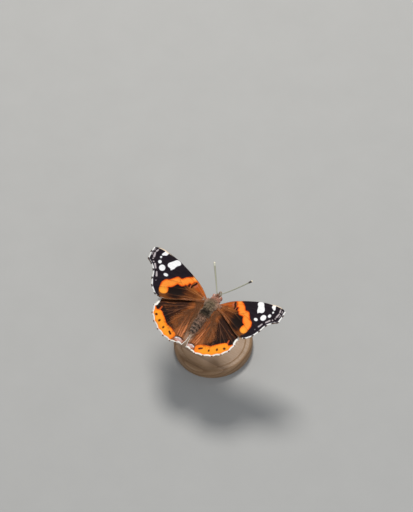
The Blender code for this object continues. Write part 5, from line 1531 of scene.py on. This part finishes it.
def make_palps(hair):
    for label, side in SIDES:
        t = np.linspace(0, 1, 30)
        line = palp_line(side, t)
        radius = spline([(i, r, 0) for i, r in enumerate(PALP_RADII)], t)[:, 1]
        core = np.maximum(0.09, radius - 0.10) * (1 - 0.10 * np.exp(-((t - 0.62) / 0.03) ** 2))
        points, faces, length, turn = tube(line, core, 18)
        w = length / length.max()
        spots = {"dark": 0.50 * smooth((w - 0.72) / 0.2), "pale": 0.75 * (1 - smooth((w - 0.7) / 0.2)), "warm": np.full(len(w), 0.4),
                 "olive": np.zeros(len(w))}
        obj = build(f"palp_skin_{label}", place(points), faces, spots, None, (skin_material,))
        settle(obj, "body_hair", f"palp_{label}")
        # scales lying forward along it, with a crest on the upper side
        n = 1700
        at, angle = RNG.random(n) ** 0.9, RNG.uniform(0, 2 * np.pi, n)
        p0 = palp_line(side, at)
        ahead = unit(palp_line(side, np.minimum(1, at + 0.02)) - palp_line(side, np.maximum(0, at - 0.02)))
        across = unit(np.cross(ahead, np.array([0, 1.0, 0])))
        normal = unit(np.cos(angle)[:, None] * across + np.sin(angle)[:, None] * np.cross(ahead, across))
        r = np.interp(at, t, core)
        crest = smooth((normal[:, 2] - normal[:, 0] - 0.6) / 0.6)
        first = unit(ahead + (0.30 + 0.55 * crest)[:, None] * normal + RNG.normal(0, 0.07, (n, 3)))
        size = (0.36 + 0.10 * crest) * (1 - 0.45 * at) * RNG.uniform(0.75, 1.15, n)
        low = smooth((-normal[:, 2] + 0.1) / 0.5)
        spots = {"dark": np.clip(0.16 * smooth((at - 0.6) / 0.3) * (1 - low) + 0.12 * RNG.random(n), 0, 1),
                 "pale": np.clip(0.50 + 0.35 * low, 0, 1), "warm": np.full(n, 0.20), "olive": np.full(n, 0.55)}
        uv = np.stack([0.03 + 0.94 * at, 0.03 + 0.94 * angle / (2 * np.pi)], 1)
        obj = tufts(f"palp_coat_{label}", p0 + normal * (r - 0.02)[:, None], first, unit(ahead + 0.08 * normal), size,
                    0.055 * RNG.uniform(0.8, 1.2, n), spots, uv, hair)
        settle(obj, "body_hair")


def antenna_line(side, u):
    base, tip = np.array(ANTENNA_BASE), np.array(ANTENNA_TIP)
    u = np.asarray(u, float)
    p = base + (tip - base) * u[:, None]
    p[:, 2] -= ANTENNA_SAG * np.sin(np.pi * np.clip(u, 0, 1) ** 0.8)
    return p * (1, side, 1)


def antenna_look():
    k = Look("antenna", 0.52)
    where = k.node("ShaderNodeTexCoord").outputs["Object"]
    grain = k.noise(where, 9000.0, 2.0, 0.6)
    # ringed: a pale scaled band at the foot of each segment, a darker one above it
    ringed = k.maths("MULTIPLY", k.step(k.attribute("ring"), 0.55, 0.68), k.step(k.attribute("ring"), 1.0, 0.92))
    shaft = k.mix(k.times(ringed, 0.62), k.mix(grain, (0.225, 0.230, 0.155), (0.350, 0.355, 0.260)), k.mix(grain, (0.082, 0.078, 0.052), (0.155, 0.146, 0.104)))
    # painted light from above: the upper side of the shaft lighter
    upper = k.step(k.attribute("top"), -0.2, 0.5)
    shaft = k.mix(k.times(upper, 0.30), shaft, (0.36, 0.36, 0.28))
    shaft = k.mix(k.times(k.step(k.attribute("club"), 0.15, 0.7), 0.8), shaft, (0.58, 0.58, 0.48))
    club = k.mix(grain, (0.016, 0.011, 0.009), (0.060, 0.040, 0.028))
    c = k.mix(k.times(k.step(k.attribute("club"), 0.15, 0.55), k.attribute("tone")), shaft, club)
    c = k.mix(k.step(k.attribute("tip"), 0.2, 0.8), c, (0.80, 0.72, 0.52))
    k.bump(grain, 0.3, 0.00002)
    return k.colour(c)


def make_antennae():
    look = antenna_look()
    length = float(np.linalg.norm(np.array(ANTENNA_TIP) - np.array(ANTENNA_BASE)))
    segments = 38
    for label, side in SIDES:
        u = np.concatenate([np.linspace(-0.045, 0.0, 7)[:-1], np.linspace(0, 1.0, 12 * segments + 1)])
        line = antenna_line(side, np.maximum(u, 0))
        # the first joint, a rounded knob, is set into the top of the head
        line[:6] = mixed(np.array((5.72, side * 0.60, 0.42)), line[6], np.linspace(0, 1, 7)[:6, None])
        left = length * (1 - u)
        club = smooth((CLUB_LENGTH - left) / (0.72 * CLUB_LENGTH))
        radius = mixed(mixed(0.22, 0.33, smooth(u / 0.8)), 0.43, club) if side > 0 else mixed(mixed(0.19, 0.25, smooth(u / 0.8)), 0.43, club)
        radius *= np.sqrt(np.clip((1.0 - u) * length / 0.42, 0.02, 1.0)) ** 0.9
        ring = np.mod(u * segments, 1.0)
        radius *= 1 + 0.10 * (1 - smooth(ring / 0.2)) * (1 - 0.75 * club) + 0.05 * smooth((ring - 0.8) / 0.2) * (1 - 0.75 * club)
        radius[:6] = (0.20, 0.245, 0.25, 0.235, 0.20, 0.17)
        points, faces, run, turn = tube(line, radius, 16, tips=0.5)
        n = len(u)
        spread = lambda v: np.concatenate([np.repeat(v, 16), [v[0], v[-1]]])
        centre = np.vstack([np.repeat(line, 16, 0), line[:1], line[-1:]])
        top = (points[:, 2] - centre[:, 2]) / spread(radius)
        values = {"ring": spread(ring), "club": spread(np.where(u < 0, 0, club)), "tip": spread(smooth((0.62 - left) / 0.30)), "top": top,
                  # the club of the left antenna is turned its pale side up
                  "tone": np.where(side > 0, 1.0 - 0.95 * smooth(top + 0.8), 1.0)}
        obj = build(f"antenna_skin_{label}", place(points), faces, values, None, (look,))
        settle(obj, "chitin", f"antenna_{label}")


def make_proboscis():
    k = Look("proboscis", 0.38)
    where = k.node("ShaderNodeTexCoord").outputs["Object"]
    grain = k.noise(where, 7000.0, 2.0, 0.6)
    ribs = k.step(k.attribute("ring"), 0.3, 0.7)
    c = k.mix(grain, (0.052, 0.030, 0.018), (0.125, 0.075, 0.042))
    c = k.mix(k.times(ribs, 0.35), c, (0.20, 0.13, 0.075))
    k.bump(k.add(k.times(ribs, 0.7), k.times(grain, 0.3)), 0.5, 0.00002)
    look = k.colour(c)
    turns, n = 2.75, 300
    u = np.linspace(0, 1, n)
    reach = mixed(0.655, 0.225, u ** 0.9)
    angle = math.radians(118) + 2 * np.pi * turns * u
    cx, cy, cz = PROBOSCIS_CENTRE
    coil = np.stack([cx + reach * np.cos(angle), np.full(n, cy), cz + reach * np.sin(angle)], 1)
    stem = spline([(5.55, 0, -1.30), (5.62, 0, -1.62), (5.70, 0, -1.92), tuple(coil[0])], np.linspace(0, 1, 28))[:-1]
    # two half tubes side by side, joined along the groove between them
    parts = []
    for s in (1, -1):
        line = np.vstack([stem, coil[:]]) + (0, s * 0.055, 0)
        far = np.linspace(0, 1, len(line))
        radius = mixed(0.112, 0.062, far) * (1 - 0.35 * smooth((far - 0.95) / 0.05))
        line[:, 1] = s * np.abs(radius) * 0.52
        points, faces, run, turn = tube(line, radius, 12, up=(0, 1, 0))
        parts.append((points, faces, {"ring": np.mod(run / 0.075, 1.0)}))
    points, faces, values = joined(parts)
    obj = build("proboscis_coil", place(points), faces, values, None, (look,))
    settle(obj, "chitin", "proboscis")


# ---- legs -----------------------------------------------------------------------------------
def leg_look():
    k = Look("leg", 0.46)
    where = k.node("ShaderNodeTexCoord").outputs["Object"]
    grain = k.noise(where, 8000.0, 3.0, 0.6)
    c = k.mix(grain, (0.105, 0.068, 0.040), (0.265, 0.185, 0.115))
    c = k.mix(k.step(k.attribute("dark"), 0.0, 1.0, 0.0, 0.92), c, k.mix(grain, (0.016, 0.012, 0.010), (0.055, 0.040, 0.028)))
    c = k.mix(k.step(k.attribute("pale"), 0.0, 1.0, 0.0, 0.85), c, k.mix(grain, (0.36, 0.28, 0.19), (0.56, 0.47, 0.35)))
    k.bump(grain, 0.4, 0.00003)
    return k.colour(c)


def shank(start, end, widths, around=14, bow=0.0, rows=12):
    """One length of a leg, its width given at even steps; narrow at both joints."""
    t = np.linspace(0, 1, rows)
    line = mixed(np.asarray(start, float), np.asarray(end, float), t[:, None]) + np.array([0, 0, 1]) * (bow * np.sin(np.pi * t))[:, None]
    radius = np.interp(t, np.linspace(0, 1, len(widths)), widths)
    points, faces, run, turn = tube(line, radius, around)
    return points, faces, run / max(run.max(), 1e-9)


def make_legs(hair):
    look = leg_look()
    for pair, (joints, radii) in LEGS.items():
        for label, side in SIDES:
            j = [np.array(p) * (1, side, 1) for p in joints]
            parts = []

            def add(points, faces, dark, pale):
                n = len(points)
                parts.append((points, faces, {"dark": np.broadcast_to(np.asarray(dark, float), n).copy(),
                                              "pale": np.broadcast_to(np.asarray(pale, float), n).copy()}))

            fore = pair == "fore"
            # femur
            p, f, w = shank(j[0], j[1], (0.22, 0.29, 0.27, 0.22, 0.16) if not fore else (0.22, 0.25, 0.22, 0.17), bow=0.05)
            add(p, f, 0.75 * (1 - smooth((w - 0.7) / 0.3)), 0.35 * smooth((w - 0.82) / 0.18))
            # tibia
            p, f, w = shank(j[1], j[2], (0.135, 0.165, 0.155, 0.145, 0.165, 0.12) if not fore else (0.15, 0.20, 0.20, 0.14))
            add(p, f, 0.35 * (1 - w) + 0.4 * smooth((w - 0.9) / 0.1), 0.25)
            # tarsus: five joints, each a little club; the forelegs' are short brushes with no claws
            count, shares = (5, (0.0, 0.42, 0.62, 0.76, 0.88, 1.0)) if not fore else (2, (0.0, 0.6, 1.0))
            line = [mixed(j[2], j[3], s) for s in shares]
            for i in range(count):
                thick = (0.135 - 0.010 * i) if not fore else 0.15 - 0.03 * i
                p, f, w = shank(line[i], line[i + 1], (thick * 0.62, thick * 0.78, thick * 0.92, thick), 12, rows=7)
                add(p, f, 0.45 * smooth((w - 0.7) / 0.3), 0.30 * (1 - w))
            along = unit(j[3] - j[2])
            across = unit(np.cross(along, (0, 0, 1.0)))
            down = np.cross(along, across)
            down = down * -np.sign(down[2])
            if not fore:
                for s in (-1, 1):        # a pair of claws and the pad between them
                    claw = [j[3] - along * 0.02 + across * s * 0.04, j[3] + along * 0.10 + across * s * 0.12 + down * 0.00,
                            j[3] + along * 0.20 + across * s * 0.15 + down * 0.07, j[3] + along * 0.235 + across * s * 0.14 + down * 0.16]
                    p, f, _, _ = tube(spline(claw, np.linspace(0, 1, 9)), np.linspace(0.045, 0.012, 9), 8)
                    add(p, f, 1.0, 0.0)
                p, f = ellipsoid_points(j[3] + along * 0.08 + down * 0.03, (0.09, 0.09, 0.06), 14, 8)
                add(p, f, 0.6, 0.0)
                for s in (-1, 1):        # two spurs at the end of the tibia
                    tine = [j[2] + across * s * 0.08, j[2] + along * 0.10 + across * s * 0.16 + down * 0.10, j[2] + along * 0.24 + across * s * 0.20 + down * 0.16]
                    p, f, _, _ = tube(spline(tine, np.linspace(0, 1, 7)), np.linspace(0.042, 0.012, 7), 7)
                    add(p, f, 0.9, 0.0)
                # short spines in rows down the tibia and tarsus
                for a, b, n, reach, r in ((j[1], j[2], 16, 0.14, 0.145), (j[2], j[3], 20, 0.10, 0.105)):
                    run = unit(b - a)
                    side_way = unit(np.cross(run, (0, 0, 1.0)))
                    low = np.cross(run, side_way)
                    low = low * -np.sign(low[2])
                    for i in range(n):
                        s = 1 if i % 2 else -1
                        root = mixed(a, b, (i + 1.2) / (n + 1.5)) + unit(side_way * s * 0.75 + low * 0.65) * r * 0.85
                        tip = root + unit(side_way * s * 0.6 + low * 0.6 + run * 1.2) * reach
                        p, f, _, _ = tube([root, mixed(root, tip, 0.5), tip], (0.022, 0.016, 0.007), 6)
                        add(p, f, 1.0, 0.0)
            points, faces, values = joined(parts)
            obj = build(f"leg_skin_{pair}_{label}", place(points), faces, values, None, (look,))
            settle(obj, "chitin", f"leg_{pair}_{label}")

            # short hair along the thigh; on the forelegs, a brush all the way down
            n = 900 if not fore else 1300
            at = RNG.random(n)
            if fore:
                leg = np.minimum((at * 3).astype(int), 2)
                local = at * 3 - leg
            else:
                leg, local = np.where(at < 0.72, 0, 1), np.where(at < 0.72, at / 0.72, (at - 0.72) / 0.28)
            knots = np.array(j)
            a, b = knots[leg], knots[leg + 1]
            run = unit(b - a)
            cross_way = unit(np.cross(run, np.array([0, 0, 1.0])))
            angle = RNG.uniform(0, 2 * np.pi, n)
            normal = np.cos(angle)[:, None] * cross_way + np.sin(angle)[:, None] * np.cross(run, cross_way)
            r = np.where(leg == 0, 0.20, np.where(leg == 1, 0.13, 0.10)) * (1.0 if not fore else 0.9)
            root = mixed(a, b, local[:, None]) + normal * r[:, None]
            size = np.where(leg == 0, 0.34, 0.20 if not fore else 0.36) * RNG.uniform(0.7, 1.2, n)
            first = unit(run + 0.38 * normal + RNG.normal(0, 0.06, (n, 3)))
            spots = {"dark": np.where(normal[:, 2] > 0.2, 0.6, 0.15), "pale": np.where(normal[:, 2] > 0.2, 0.15, 0.55), "warm": np.full(n, 0.3),
                     "olive": np.full(n, 0.3)}
            uv = np.stack([0.03 + 0.94 * at, 0.03 + 0.94 * angle / (2 * np.pi)], 1)
            obj = tufts(f"leg_hair_{pair}_{label}", root - 0.02 * normal, first, unit(run + 0.12 * normal), size, 0.048 * RNG.uniform(0.8, 1.2, n), spots, uv, hair)
            settle(obj, "body_hair")


# ---- the stand --------------------------------------------------------------------------------
def turned(profile, around=128):
    """A shape turned about the rod's axis; profile is (radius, height) from the foot up, in the scene's millimetres."""
    profile = np.asarray(profile, float)
    u = 2 * np.pi * np.arange(around) / around
    rings = np.stack([profile[:, :1] * np.cos(u), profile[:, :1] * np.sin(u), np.repeat(profile[:, 1:], around, 1)], -1)
    n = len(profile)
    points = np.vstack([rings.reshape(-1, 3), [[0, 0, profile[0, 1]]], [[0, 0, profile[-1, 1]]]])
    faces = [ring_faces(n, around), cone_faces(0, around, n * around, True), cone_faces((n - 1) * around, around, n * around + 1)]
    return points * MM, outward(points, faces)


def rounded(points, radii, steps=7):
    """A profile with its corners rounded off."""
    points = [np.array(p, float) for p in points]
    out = [points[0]]
    for before, at, after, r in zip(points, points[1:], points[2:], radii):
        d0, d1 = unit(before - at), unit(after - at)
        r = min(r, np.linalg.norm(before - at) * 0.49, np.linalg.norm(after - at) * 0.49)
        for t in np.linspace(0, 1, steps):
            a, b = at + d0 * r, at + d1 * r
            out.append((1 - t) ** 2 * a + 2 * t * (1 - t) * at + t * t * b)
    out.append(points[-1])
    return np.array(out)


def wood_look():
    k = Look("pale_wood", 0.62, Specular_IOR_Level=0.25)
    where = k.node("ShaderNodeTexCoord").outputs["Object"]
    # growth rings about an axis lying well below and beside the disc, cut lengthwise
    bend = k.noise(k.scaled(where, (18.0, 60.0, 60.0)), 1.0, 3.0, 0.55)
    sep = k.node("ShaderNodeSeparateXYZ")
    k.put(sep.inputs[0], where)
    dy = k.add(k.times(sep.outputs[1], 1.0), k.times(k.add(bend, -0.5), 0.0060))
    dz = k.add(sep.outputs[2], 0.030)
    far = k.maths("SQRT", k.add(k.times(dy, dy), k.times(dz, dz)))
    ring = k.maths("FRACT", k.times(far, 620.0))
    late = k.add(k.step(ring, 0.45, 0.95), k.times(k.step(ring, 0.95, 1.0), -1.0))
    fibre = k.noise(k.scaled(where, (260.0, 4200.0, 4200.0)), 1.0, 3.0, 0.6)
    c = k.mix(late, (0.245, 0.150, 0.082), (0.170, 0.096, 0.048))
    c = k.mix(k.step(fibre, 0.45, 0.75, 0.0, 0.30), c, (0.130, 0.070, 0.034))
    c = k.mix(k.step(fibre, 0.25, 0.45, 0.22, 0.0), c, (0.300, 0.195, 0.110))
    k.rough(k.step(fibre, 0.2, 0.8, 0.36, 0.52))
    k.bump(k.add(k.times(fibre, 0.7), k.times(late, 0.3)), 0.25, 0.00004)
    return k.colour(c)


def steel_look():
    k = Look("brushed_steel", 0.28, Metallic=1.0)
    where = k.node("ShaderNodeTexCoord").outputs["Object"]
    lines = k.noise(k.scaled(where, (900.0, 900.0, 26000.0)), 1.0, 2.0, 0.6)
    k.rough(k.step(lines, 0.3, 0.7, 0.22, 0.36))
    k.bump(lines, 0.12, 0.00001)
    return k.colour(k.mix(lines, (0.56, 0.56, 0.57), (0.68, 0.68, 0.69)))


def make_stand():
    wood, steel = wood_look(), steel_look()
    r, h = BASE_DIAMETER / 2, BASE_THICKNESS
    profile = rounded(((0.4, 0.0), (r - 0.55, 0.0), (r, 0.50), (r, h - 0.95), (r - 0.75, h), (r - 2.6, h), (r - 2.85, h - 0.16), (r - 3.1, h), (2.2, h)),
                      (0.15, 0.35, 0.60, 0.60, 0.10, 0.12, 0.10))
    points, faces = turned(profile, 160)
    obj = build("turned_base", points, faces, None, None, (wood,))
    settle(obj, "pale_wood", "stand_base")

    c, top = COLLAR_DIAMETER / 2, HINGE_HEIGHT - 1.63
    rod = ROD_DIAMETER / 2
    foot = h + FIT_GAP
    profile = rounded(((0.2, foot), (c, foot), (c, foot + COLLAR_HEIGHT * 0.72), (c - 0.55, foot + COLLAR_HEIGHT), (rod + 0.12, foot + COLLAR_HEIGHT),
                       (rod, foot + COLLAR_HEIGHT + 0.14), (rod, top), (0.1, top)), (0.16, 0.30, 0.30, 0.10, 0.12, 0.18))
    points, faces = turned(profile, 72)
    obj = build("rod_and_collar", points, faces, None, None, (steel,))
    settle(obj, "steel", "stand_rod")

    profile = rounded(((0.2, h), (c - 0.25, h), (c - 0.25, foot), (0.2, foot)), (0.08, 0.08))
    points, faces = turned(profile, 72)
    k = Look("washer", 0.55)
    grain = k.noise(k.node("ShaderNodeTexCoord").outputs["Object"], 5000.0, 2.0, 0.6)
    obj = build("rod_washer", points, faces, None, None, (k.colour(k.mix(grain, (0.03, 0.03, 0.032), (0.06, 0.06, 0.062))),))
    settle(obj, "steel")


# ---- floor, light and camera ----------------------------------------------------------
def make_stage():
    n = 48
    u = np.linspace(-1, 1, n)
    x, y = np.meshgrid(u, u, indexing="ij")
    points = np.stack([x * 1.6, y * 1.6, np.zeros_like(x)], -1).reshape(-1, 3)
    i = np.arange(n - 1)[:, None] * n + np.arange(n - 1)[None]
    quads = np.stack([i, i + n, i + n + 1, i + 1], -1).reshape(-1, 4)
    k = Look("pale_floor", 0.85)
    where = k.node("ShaderNodeTexCoord").outputs["Object"]
    grain = k.noise(where, 60.0, 3.0, 0.6)
    k.colour(k.mix(grain, (0.335, 0.335, 0.33), (0.36, 0.36, 0.355)))
    floor = build("floor", points, quads, materials=(k.material,))

    world = bpy.data.worlds.new("studio")
    bpy.context.scene.world = world
    world.use_nodes = True
    world.node_tree.nodes["Background"].inputs["Color"].default_value = (0.93, 0.96, 1.0, 1)
    world.node_tree.nodes["Background"].inputs["Strength"].default_value = 0.34

    def lamp(name, where, aim, size, power, colour=(1, 1, 1)):
        data = bpy.data.lights.new(name, "AREA")
        data.shape, data.size, data.energy, data.color = "DISK", size, power, colour
        obj = bpy.data.objects.new(name, data)
        bpy.context.scene.collection.objects.link(obj)
        obj.location = where
        obj.rotation_euler = (Vector(aim) - Vector(where)).to_track_quat("-Z", "Y").to_euler()

    lamp("key_light", (0.30, -0.42, 0.78), (0, 0, 0.03), 0.30, 8.0, (1.0, 0.97, 0.92))
    lamp("fill_light", (-0.62, 0.30, 0.50), (0, 0, 0.03), 0.60, 2.6, (0.92, 0.96, 1.0))
    lamp("low_light", (0.30, 0.60, 0.16), (0, 0, 0.03), 0.40, 0.8, (1.0, 0.98, 0.95))


def make_camera():
    right, up, back = Vector((-0.8421, -0.5365, -0.055)), Vector((0.4171, -0.7125, 0.5642)), Vector((-0.3418, 0.4522, 0.8238))
    back.normalize()
    right = (right - right.dot(back) * back).normalized()
    up = back.cross(right)
    centre = Vector((0, ROD_X, HINGE_HEIGHT)) * MM
    target = centre + right * (-1.614 * MM) + up * (19.86 * MM)
    data = bpy.data.cameras.new("camera")
    data.lens, data.sensor_width, data.sensor_height, data.sensor_fit = 200.0, 36.0 * 413 / 512, 36.0, "VERTICAL"
    data.clip_start, data.clip_end = 0.01, 20.0
    obj = bpy.data.objects.new("camera", data)
    bpy.context.scene.collection.objects.link(obj)
    location = target + back * 1.128
    rotation = Matrix((right, up, back)).transposed().to_4x4()
    obj.matrix_world = Matrix.Translation(location) @ rotation
    bpy.context.scene.camera = obj


# ---- everything, in order -----------------------------------------------------------------
make_stage()
make_camera()
bpy.context.scene.view_settings.view_transform = "Standard"
make_forewings()
make_hindwings()
skin_points, skin_faces = make_skin()
hair_look, fine_look = make_body_coat(skin_points, skin_faces)
make_wing_hair()
make_inner_hair()
make_fringes()
make_eyes()
make_palps(fine_look)
make_antennae()
make_proboscis()
make_legs(fine_look)
make_stand()
